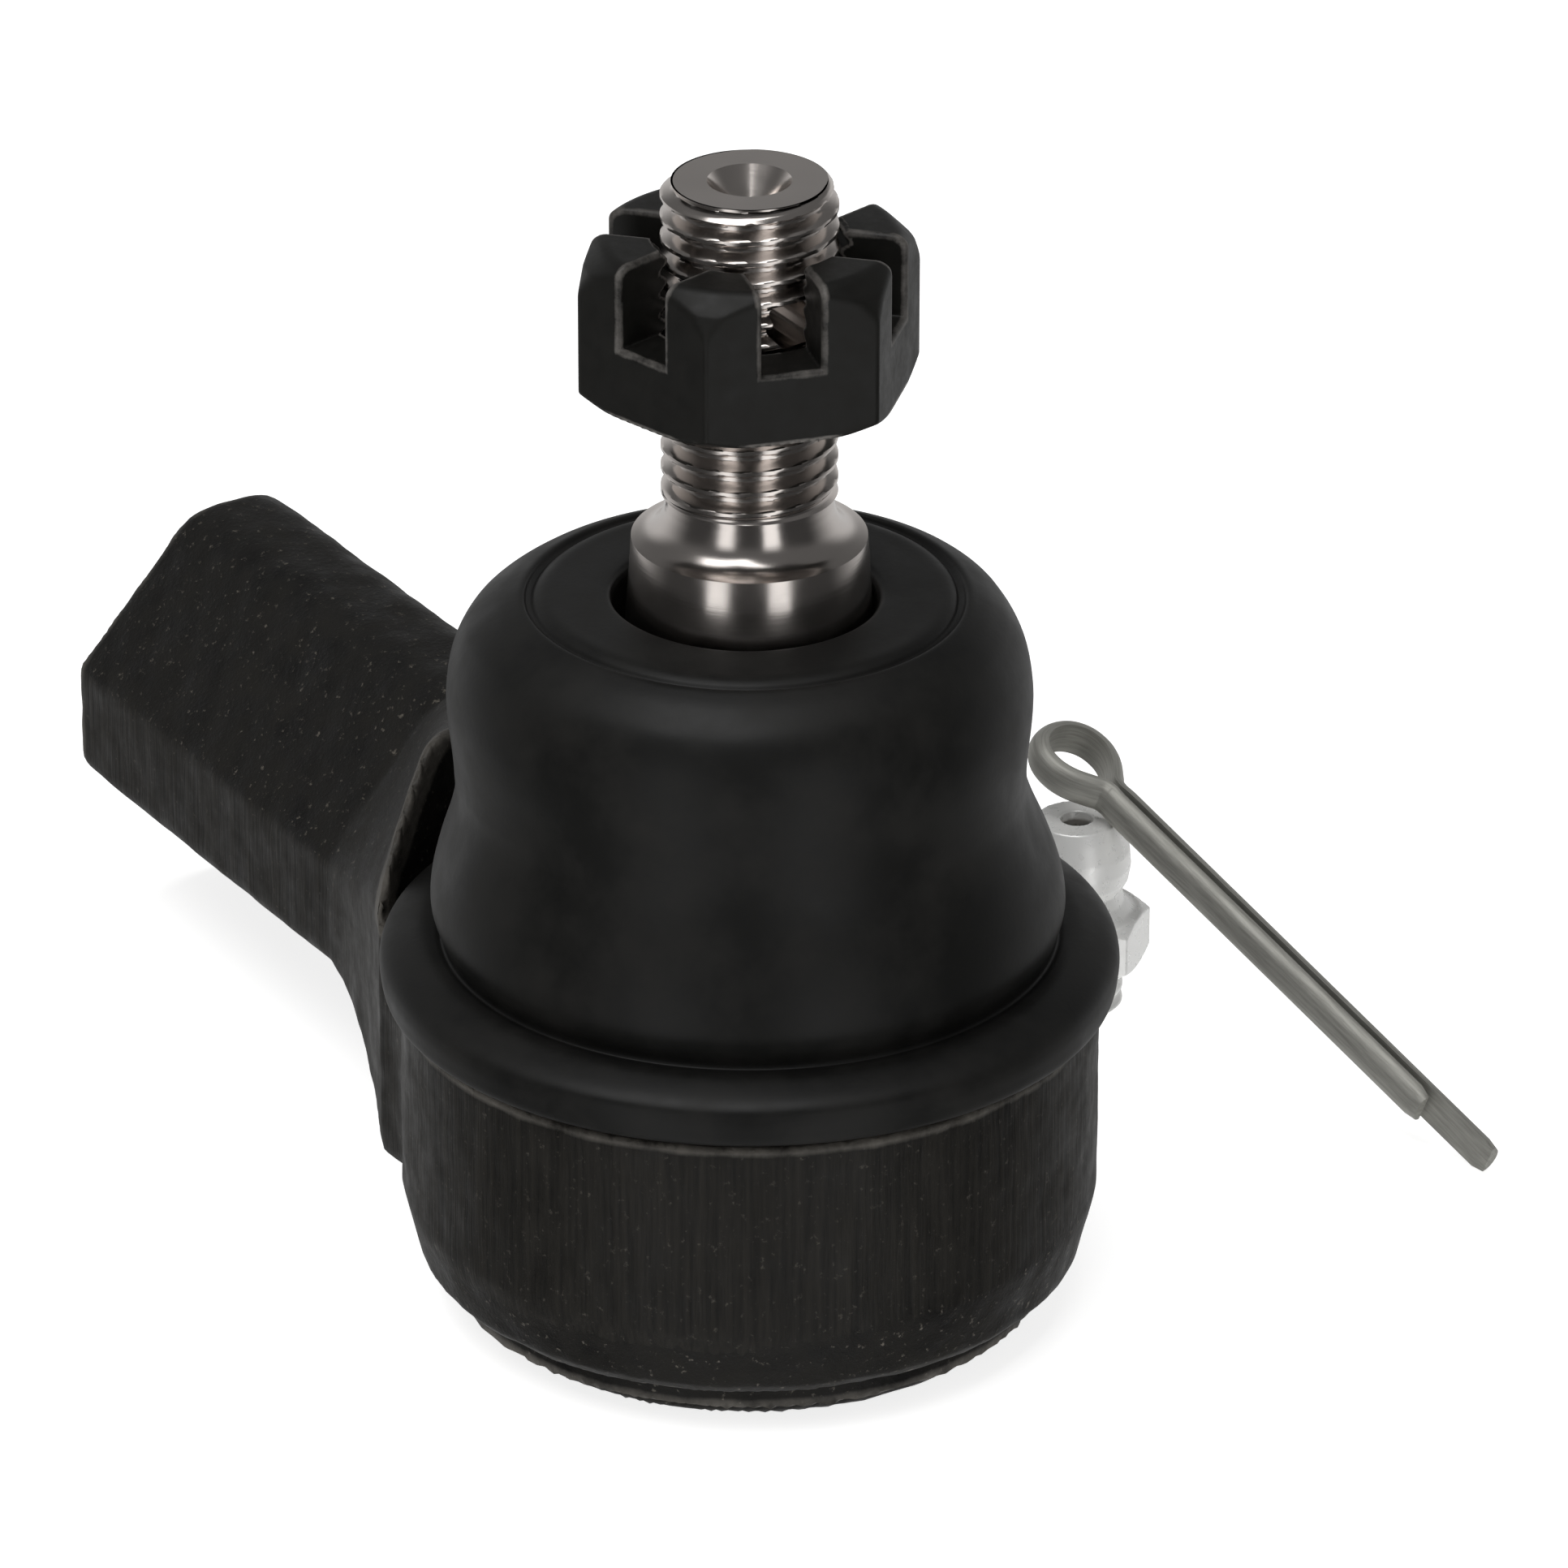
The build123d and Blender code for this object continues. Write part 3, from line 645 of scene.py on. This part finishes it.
# %% Socket thread
turn = np.linspace(0, 2 * math.pi, 96, endpoint=False)
lengths = np.arange(SHANK_END - SOCKET_DEPTH + 0.3, SHANK_END - 0.5, 0.12)
length, angle = np.meshgrid(lengths, turn, indexing="ij")
tooth = ridge(length / SOCKET_PITCH - angle / (2 * math.pi))
inner = SOCKET_MAJOR - (SOCKET_MAJOR - SOCKET_MINOR) * tooth
# The lead chamfer at the mouth opens the bore by one for one.
inner = np.maximum(inner, SOCKET_MINOR + np.maximum(length - (SHANK_END - 1.5), 0))
inner = np.minimum(inner, SLEEVE_R - 0.02)
outer = np.full((2, len(turn)), SLEEVE_R + 0.05)
ends = np.array([[lengths[-1]], [lengths[0]]]) * np.ones((1, len(turn)))
radius = np.vstack([inner, outer])
length = np.vstack([length, ends])
angle = np.vstack([angle, np.tile(turn, (2, 1))])
points = np.stack([length, radius * np.cos(angle), SHANK_Z + radius * np.sin(angle)], axis=-1).reshape(-1, 3)
faces = grid_faces(len(radius), len(turn), close_rows=True)
socket_thread = make_piece("socket_thread", points, faces, {
    "band": np.full(len(points), -3.0), "wear": np.zeros(len(points)),
})
finish_with(socket_thread, forged)
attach(socket_thread, "housing")

# %% [markdown]
# ## The ball stud
# The stud is a turned outline: ball, neck, taper, hollow shoulder, thread and centred end. The
# thread is the same ridge as in the socket, faded in at its foot and out at the end's chamfer.
# The cross hole for the pin is cut last.

# %% Stud
THREAD_R, THREAD_DEPTH, THREAD_PITCH, THREAD_FOOT = 4.93, 0.72, 1.25, 49.95
TAPER_TOP, TAPER_TOP_R, TAPER_FOOT, STEM_R, NECK_R = 47.2, 6.6, 29.0, 4.72, 5.4
BALL_R, BALL_FLAT = 11.0, stud_low[2]
NECK_RISE, NECK_ARC = 4.5, 5.5
CROSS_HOLE_R, CROSS_HOLE_Z = 1.4, 61.6
STUD_COLUMNS = 160

flat_r = math.sqrt(BALL_R**2 - (BALL_Z - BALL_FLAT) ** 2)
low_angle = math.acos((BALL_FLAT - BALL_Z) / BALL_R)
sweep = np.linspace(low_angle, math.asin(NECK_R / BALL_R), 40)
ball = np.stack([BALL_R * np.sin(sweep), BALL_Z + BALL_R * np.cos(sweep)], axis=1)
taper_foot_r = TAPER_TOP_R + (TAPER_TOP - TAPER_FOOT) / 16
# The neck opens into the taper along an arc that leaves it straight up.
curl = np.linspace(0, math.asin(NECK_RISE / NECK_ARC), 12)
neck = np.stack([NECK_R + NECK_ARC * (1 - np.cos(curl)), TAPER_FOOT - NECK_RISE + NECK_ARC * np.sin(curl)],
                axis=1)
shoulder = curve_through([(TAPER_TOP_R, TAPER_TOP), (5.75, 47.45), (5.15, 48.0), (4.82, 48.7), (STEM_R,
                                                                                                49.4)], 5)
outline = np.vstack([
    along_outline([(0, BALL_FLAT), (flat_r, BALL_FLAT)], 1.0)[:-1],
    ball,
    neck,
    along_outline([(taper_foot_r, TAPER_FOOT + 0.2), (TAPER_TOP_R + 0.02, TAPER_TOP - 0.3)], 0.8),
    shoulder,
    along_outline([(STEM_R, 49.5), (STEM_R, THREAD_FOOT - 0.1)], 0.3),
    along_outline([(THREAD_R, THREAD_FOOT), (THREAD_R, STUD_TOP - 0.62), (THREAD_R - 0.55, STUD_TOP)], 0.07),
    along_outline([(THREAD_R - 0.6, STUD_TOP), (2.35, STUD_TOP), (0.8, STUD_TOP - 2.3), (0.8, STUD_TOP - 3.6),
                   (0, STUD_TOP - 3.6)], 0.3),
])
turn = np.linspace(0, 2 * math.pi, STUD_COLUMNS, endpoint=False)
outline_r, outline_z = outline[:, :1], outline[:, 1:]
threaded = (outline_z >= THREAD_FOOT) & (outline_r > THREAD_R - 0.56)
fade = np.clip((outline_z - THREAD_FOOT) / 0.9, 0, 1)
cut = THREAD_DEPTH * (1 - ridge(outline_z / THREAD_PITCH - turn / (2 * math.pi))) * fade
root = np.minimum(outline_r, THREAD_R) - cut
radius = np.where(threaded, np.minimum(outline_r, np.maximum(root, THREAD_R - THREAD_DEPTH)), outline_r)
points = np.stack([radius * np.cos(turn), radius * np.sin(turn), outline_z + 0 * radius],
                  axis=-1).reshape(-1, 3)
stud = make_piece("stud", points, grid_faces(len(outline), STUD_COLUMNS))
finish_with(stud, steel)

# %% Cross hole
turn = np.linspace(0, 2 * math.pi, 40, endpoint=False)
reach = np.array([0.0, 1.0, 1.0, 0.0])[:, None]
ends = np.array([-8.0, -8.0, 8.0, 8.0])[:, None]
points = np.stack([ends + 0 * turn, CROSS_HOLE_R * reach * np.cos(turn),
                   CROSS_HOLE_Z + CROSS_HOLE_R * reach * np.sin(turn)], axis=-1).reshape(-1, 3)
drill = make_piece("drill", points, grid_faces(4, 40))
bore = stud.modifiers.new("cross_hole", "BOOLEAN")
bore.object = drill
bore.operation = "DIFFERENCE"
bore.solver = "EXACT"
bpy.context.view_layer.update()
seen = stud.evaluated_get(bpy.context.evaluated_depsgraph_get())
drilled = bpy.data.meshes.new_from_object(seen)
stud.modifiers.clear()
stud.data = drilled
bpy.data.objects.remove(drill)
drilled.set_sharp_from_angle(angle=math.radians(38))
print("stud drilled, faces", len(drilled.polygons))
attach(stud, "stud")
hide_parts("ball_stud")

# %% [markdown]
# ## The castle nut
# A hexagon is the largest of three distances across flats. Two cones turn its corners off, six
# slots cut the castle down to the hexagon's shoulder, and a shallow helix marks the bore where
# the slots open it. The bore clears the stud's crests.

# %% Nut
NUT_HALF = 8.5
NUT_CORNER = 2 * NUT_HALF / math.sqrt(3)
NUT_BORE = 4.99
NUT_TURN = math.radians(15)
SLOT_HALF, SLOT_FLOOR = 1.7, NUT_TOP - 4.8


def castle(x, y, z):
    """Signed distance to the nut."""
    rho = np.hypot(x, y)
    angle = np.arctan2(y, x)
    facing = NUT_TURN + math.pi * np.array([1, 3, 5]) / 6
    flats = [np.abs(x * math.cos(a) + y * math.sin(a)) - NUT_HALF for a in facing]
    body = soft_max(soft_max(flats[0], flats[1], 0.12), flats[2], 0.12)
    # The castle narrows in two cones, the lower at 5 in 12 and the upper at 1 in 1.
    low_crown = ((rho - NUT_CORNER) * 1.2 + (z - (NUT_TOP - 2.3)) * 0.5) / 1.3
    high_crown = ((rho - (NUT_CORNER - 0.5)) + (z - (NUT_TOP - 1.1))) / math.sqrt(2)
    crown = np.maximum(low_crown, high_crown)
    foot = ((rho - 8.75) - 1.7 * (z - NUT_FOOT)) / math.hypot(1, 1.7)
    body = soft_max(soft_max(body, crown, 0.2), foot, 0.15)
    body = soft_max(soft_max(body, z - NUT_TOP, 0.3), NUT_FOOT - z, 0.15)
    # The slot nearest a point: its angle is folded onto one slot's.
    nearest = (angle - NUT_TURN) % math.radians(60) - math.radians(30)
    slot = np.maximum(np.abs(rho * np.sin(nearest)) - SLOT_HALF, SLOT_FLOOR - z)
    body = soft_max(body, -slot, 0.3)
    groove = 0.5 * (1 - ridge(z / THREAD_PITCH - angle / (2 * math.pi) + 0.5))
    lead = np.maximum(z - (NUT_TOP - 0.5), 0) + np.maximum(NUT_FOOT + 0.6 - z, 0)
    return np.maximum(body, 0.8 * (NUT_BORE + np.maximum(groove, lead) - rho))


points, faces, normals = net_of(castle, nut_low, nut_high, 0.145)
nut = make_piece("nut", points, faces, {"wear": edge_wear(castle, points, normals, 0.35)})
finish_with(nut, oxide)
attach(nut, "nut")
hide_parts("castle_nut")

# %% [markdown]
# ## The dust boot
# The boot is one moulding, but the stud's tilt bends it across two hinges, and a piece can turn
# smoothly across only one. So it is made as two closed rings that share one section: the lower
# runs up from the housing, and the upper carries the lip.

# %% Boot outline
SPLIT_Z, LIP_FOOT = 30.3, 38.0
BOOT_COLUMNS = 180
foot = along_outline([(18.0, 19.4), (20.2, 19.4)], 0.5)[:-1]
flange = [(20.2, 19.4), (20.75, 19.75), (20.93, 20.6), (20.95, 21.3), (20.75, 21.85), (20.1, 22.3), (18.8,
                                                                                                     22.75),
          (17.9, 22.75), (17.5, 22.7), (17.42, 23.05), (17.72, 23.9), (17.93, 25.0), (17.75, 26.5), (17.2,
                                                                                                     28.4)]
belly = [(16.5, SPLIT_Z), (16.1, 31.8), (16.05, 33.0), (16.15, 34.5), (16.38, 36.6), (16.4, 38.3), (16.05,
                                                                                                    40.2),
         (15.2, 41.8), (14.0, 42.85), (12.95, 43.4), (12.45, 43.52), (12.2, 43.3), (11.95, 43.25), (11.7,
                                                                                                    43.5),
         (11.2, 43.68), (10.2, 43.7), (8.2, 43.7), (7.65, 43.6), (7.42, 43.2)]
lip = along_outline([(7.4, 43.0), (7.4, 38.2), (9.2, 38.2), (9.2, 42.0), (12.0, 42.0)], 0.8)
roof = [(12.2, 41.95), (13.9, 40.6), (14.65, 38.0), (14.5, 35.0), (14.4, 33.0), (14.85, SPLIT_Z)]
skirt = [(15.6, 28.2), (16.2, 25.6), (16.1, 24.2), (17.0, 22.9)]
# Each curve is drawn whole and then cut, so that nothing kinks where the two rings meet.
outside, outside_cut = curve_through(flange + belly, 7), 7 * len(flange)
inside, inside_cut = curve_through(roof + skirt, 6), 6 * (len(roof) - 1)
low_outline = np.vstack([foot, outside[:outside_cut + 1], inside[inside_cut:],
                         along_outline([(18.0, 22.2), (18.0, 19.9)], 0.6)])
high_outline = np.vstack([outside[outside_cut:], lip, inside[:inside_cut + 1]])


def boot_ring(name, outline):
    """Turn a closed outline about the stud's axis. Each point's radius is moved by a slow unevenness
    of up to 0.12 mm, and the boot's middle leans by up to 0.4 mm as it rises, as soft rubber does."""
    turn = np.linspace(0, 2 * math.pi, BOOT_COLUMNS, endpoint=False)
    r, z = outline[:, :1], outline[:, 1:]
    rise = np.clip((z - 23) / 10, 0, 1) * np.clip((43.7 - z) / 3 + 0.35, 0, 1)
    r = r + 0.12 * rise * (np.sin(3 * turn + 0.12 * z) + 0.6 * np.sin(5 * turn + 1.7))
    lean = 0.35 * rise
    x = r * np.cos(turn) + 0.5 * lean
    y = r * np.sin(turn) + lean
    points = np.stack([x, y, z + 0 * x], axis=-1).reshape(-1, 3)
    return make_piece(name, points, grid_faces(len(outline), BOOT_COLUMNS, close_rows=True))


# %% Boot pieces
boot_low_piece = boot_ring("boot_lower", low_outline)
boot_high_piece = boot_ring("boot_upper", high_outline)
for piece in (boot_low_piece, boot_high_piece):
    piece.data.set_sharp_from_angle(angle=math.radians(60))
    finish_with(piece, rubber)
    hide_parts("dust_boot")
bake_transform(boot_low_piece)
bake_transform(boot_high_piece)

# %% [markdown]
# ## The grease nipple
# A turned outline joined to a hexagon, standing loose on its thread. The passage is drilled
# through, and the check ball shows in its mouth.

# %% Nipple
NIPPLE_R, NIPPLE_FLAT, HEX_LOW, HEX_HIGH = 2.95, 4.0, 3.4, 6.6
NIPPLE_TOP = nipple_high[2]
turned = [(-5, 0), (2.3, 0), (2.9, 0.6), (2.9, 2.5), (3.5, 3.0), (3.5, 6.6), (2.9, 7.3), (2.78, 8.1),
          (3.15, 8.8), (3.3, 9.7), (3.22, 10.7), (2.75, 11.9), (2.4, NIPPLE_TOP), (-5, NIPPLE_TOP)]
passage = [(-5, -1), (0.8, -1), (0.8, 7.6), (1.4, 8.0), (1.4, 11.5), (0.85, NIPPLE_TOP - 0.5),
           (1.05, NIPPLE_TOP + 0.1), (-5, NIPPLE_TOP + 0.1)]


def nipple_form(x, y, z):
    """Signed distance to the nipple. Its thread has a pitch of 1 mm and ends below the hexagon."""
    x, y = x - NIPPLE_X, y - NIPPLE_Y
    rho = np.hypot(x, y)
    hexagon = np.max([np.abs(x * math.cos(a) + y * math.sin(a)) - NIPPLE_FLAT
                      for a in math.radians(10) + math.pi * np.array([1, 3, 5]) / 6], axis=0)
    # 30 degree chamfers turn the hexagon's corners off.
    corner = np.maximum((rho - 4.3) * 0.5 + (z - HEX_HIGH) * 0.87 + 0.2,
                        (rho - 4.3) * 0.5 + (HEX_LOW - z) * 0.87 + 0.2)
    hexagon = np.maximum(np.maximum(hexagon, corner), np.maximum(z - HEX_HIGH, HEX_LOW - z))
    thread = 0.42 * (1 - ridge(z - np.arctan2(y, x) / (2 * math.pi))) * (z > 0.4) * (z < 2.5)
    shaft = outline_distance(turned, rho, z) + 0.8 * thread
    return np.maximum(soft_min(shaft, hexagon, 0.25), -outline_distance(passage, rho, z))


points, faces, normals = net_of(nipple_form, nipple_low, nipple_high, 0.11)
nipple = make_piece("nipple", points, faces)
finish_with(nipple, zinc)
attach(nipple, "nipple")
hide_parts("grease_nipple")

# %% [markdown]
# ## The split pin
# Split pins are half-round wire folded in two, flat sides together, with an eye at the fold. The
# wire's half-round section is carried along a flat path: down one leg, round the eye and back up
# the other. The far leg is the longer.

# %% Split pin
PIN_EYE = np.array([21.25, -35.45, 15.5])
PIN_TIP = np.array([-11.61, -43.19, 1.1])
PIN_R, PIN_GAP, PIN_SHORT_BY = 1.15, 0.2, 5.0

pin_length = np.linalg.norm(PIN_TIP - PIN_EYE)
along = (PIN_TIP - PIN_EYE) / pin_length
across = np.cross([0, 0, 1], along)
across = across / np.linalg.norm(across)
upright = np.cross(along, across)
# Half of the eye, as (along, across) places of the wire's flat face.
half_eye = np.array([(3.6, 0.13), (2.9, 0.3), (2.2, 0.85), (1.3, 1.5), (0.3, 1.82), (-0.8, 1.68), (-1.6,
                                                                                                   1.02)])
far_leg = along_outline([(pin_length, PIN_GAP), (4.4, PIN_GAP)], 0.8)
near_leg = along_outline([(4.4, -PIN_GAP), (pin_length - PIN_SHORT_BY, -PIN_GAP)], 0.8)
eye = curve_through(np.vstack([half_eye, [(-1.88, 0)], half_eye[::-1] * [1, -1]]), 6)
path = np.vstack([far_leg, eye, near_leg])
tangent = np.gradient(path, axis=0)
tangent = tangent / np.linalg.norm(tangent, axis=1)[:, None]
outward = np.stack([tangent[:, 1], -tangent[:, 0]], axis=1)

# The section: a half circle from one edge of the flat face to the other.
bend = np.linspace(0, math.pi, 22)
bulge = (PIN_R - PIN_GAP) * np.sin(bend)
height = PIN_R * np.cos(bend)
flat = np.linspace(-0.93, 0.93, 6)[1:-1] * PIN_R
bulge, height = np.append(bulge, 0 * flat), np.append(height, flat)
# The sheared ends: the last section is a little smaller, and then closes to a point.
shrink = np.ones(len(path))
shrink[[0, -1]] = 0.82
path = np.vstack([path[:1], path, path[-1:]])
outward = np.vstack([outward[:1], outward, outward[-1:]])
shrink = np.concatenate([[0], shrink, [0]])[:, None]
middle = 0.45 * PIN_R
out = middle + (bulge - middle) * shrink
lift = height * shrink
place = path[:, None, :] + out[..., None] * outward[:, None, :]
points = PIN_EYE + place[..., :1] * along + place[..., 1:] * across + lift[..., None] * upright
travel = np.concatenate([[0], np.cumsum(np.linalg.norm(np.diff(path, axis=0), axis=1))])[:, None]
grain = np.stack([travel + 0 * out, out, lift], axis=-1).reshape(-1, 3)
pin = make_piece("pin", points.reshape(-1, 3), grid_faces(len(path), len(bulge)), {"grain": grain})
pin.data.set_sharp_from_angle(angle=math.radians(50))
finish_with(pin, wire)
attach(pin, "pin")
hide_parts("split_pin")

# %% [markdown]
# ## Floor, light and camera
# The floor is near white. A turned steel stud shows whatever stands around it, so the
# surroundings are painted on the world: dark on the camera's side with two upright strips of
# light, and white behind. The floor is hidden from reflections, so that the strips show in upright
# steel, which mirrors what is below the horizon.

# %% Floor
BACKWARD = np.array([-0.857, 0.515, 0.0])
RIGHTWARD = np.array([-0.515, -0.857, 0.0])
floor_mesh = bpy.data.meshes.new("floor")
floor_mesh.from_pydata([(-15, -15, 0), (15, -15, 0), (15, 15, 0), (-15, 15, 0)], [], [(0, 1, 2, 3)])
floor = bpy.data.objects.new("floor", floor_mesh)
bpy.context.scene.collection.objects.link(floor)
GLOW_FROM_BELOW = 0.8
paper, _, paper_shader = start_material("white_paper_sweep", "#f4f4f3", 1.0)
# The sheet is lit from below too, so it stays white where shadows fall.
paper_shader.inputs["Emission Color"].default_value = linear("#ffffff")
paper_shader.inputs["Emission Strength"].default_value = GLOW_FROM_BELOW
finish_with(floor, paper)
floor.visible_glossy = False

# %% Surroundings
STRIP_MIDDLE, STRIP_ASIDE = math.radians(-0.8), math.radians(29.5)
STRIP_CLEAR, STRIP_FULL, STRIP_LEVEL = math.radians(11.5), math.radians(8.5), 1.3
CEILING_LEVEL = 0.12
world = bpy.data.worlds.new("studio")
bpy.context.scene.world = world
world.use_nodes = True
sky = world.node_tree
direction = add(sky, "ShaderNodeTexCoord").outputs["Generated"]
toward = add(sky, "ShaderNodeVectorMath", {0: direction, 1: tuple(BACKWARD)},
             operation="DOT_PRODUCT").outputs["Value"]
right = add(sky, "ShaderNodeVectorMath", {0: direction, 1: tuple(RIGHTWARD)},
            operation="DOT_PRODUCT").outputs["Value"]
azimuth = add(sky, "ShaderNodeMath", {0: right, 1: toward}, operation="ARCTAN2").outputs[0]
aside = add(sky, "ShaderNodeMath", {0: azimuth}, operation="ABSOLUTE").outputs[0]
# Strips: as far to each side of a line just left of the camera, 20 degrees wide, with soft edges.
off_middle = add(sky, "ShaderNodeMath", {0: azimuth, 1: STRIP_MIDDLE}, operation="SUBTRACT").outputs[0]
off_middle = add(sky, "ShaderNodeMath", {0: off_middle}, operation="ABSOLUTE").outputs[0]
off_strip = add(sky, "ShaderNodeMath", {0: off_middle, 1: STRIP_ASIDE}, operation="SUBTRACT").outputs[0]
off_strip = add(sky, "ShaderNodeMath", {0: off_strip}, operation="ABSOLUTE").outputs[0]
strip = add(sky, "ShaderNodeMapRange", {"Value": off_strip, "From Min": STRIP_CLEAR, "From Max": STRIP_FULL,
                                        "To Max": STRIP_LEVEL}, interpolation_type="SMOOTHSTEP").outputs[0]
behind = add(sky, "ShaderNodeMapRange", {"Value": aside, "From Min": math.radians(80),
                                         "From Max": math.radians(140),
                                         "To Min": 0.05, "To Max": 0.6},
             interpolation_type="SMOOTHSTEP").outputs[0]
glow = add(sky, "ShaderNodeMath", {0: strip, 1: behind}, operation="ADD").outputs[0]
# Above the horizon everything is dimmer, up to a plain ceiling.
up = add(sky, "ShaderNodeSeparateXYZ", {0: direction}).outputs[2]
raised = add(sky, "ShaderNodeMapRange", {"Value": up, "From Min": 0.1, "From Max": 0.5},
             interpolation_type="SMOOTHSTEP").outputs[0]
level = add(sky, "ShaderNodeMix", {0: raised, 2: glow, 3: CEILING_LEVEL}).outputs[0]
tree_world = sky.nodes["Background"]
tree_world.inputs["Color"].default_value = linear("#ffffff")
sky.links.new(level, tree_world.inputs["Strength"])

# %% Overhead softbox
lamp = bpy.data.lights.new("overhead_softbox", "AREA")
lamp.shape = "SQUARE"
lamp.size = 0.9
lamp.energy = 7.0
box = bpy.data.objects.new("overhead_softbox", lamp)
box.location = Vector(BACKWARD * 0.25 + RIGHTWARD * -0.2 + np.array([0, 0, 1.1]))
box.rotation_euler = (Vector((0.02, 0, 0.02)) - box.location).to_track_quat("-Z", "Y").to_euler()
bpy.context.scene.collection.objects.link(box)

# %% Camera
CAMERA_DISTANCE, CAMERA_HEIGHT = 540 * MM, 295.1 * MM
CAMERA_PITCH = math.radians(26.0)
# The stud stands left of the frame's middle by this share of the frame's width.
SIDE_SHIFT = 0.022
view = bpy.data.cameras.new("camera")
view.lens = 245.3
view.sensor_width = 36.0
view.shift_x = SIDE_SHIFT
view.clip_start = 0.01
view.clip_end = 100.0
camera = bpy.data.objects.new("camera", view)
camera.location = Vector(BACKWARD * CAMERA_DISTANCE + np.array([0, 0, CAMERA_HEIGHT]))
look = Vector(-BACKWARD * math.cos(CAMERA_PITCH) + np.array([0, 0, -math.sin(CAMERA_PITCH)]))
camera.rotation_euler = look.to_track_quat("-Z", "Y").to_euler()
bpy.context.scene.collection.objects.link(camera)
bpy.context.scene.camera = camera
bpy.context.scene.view_settings.view_transform = "Standard"
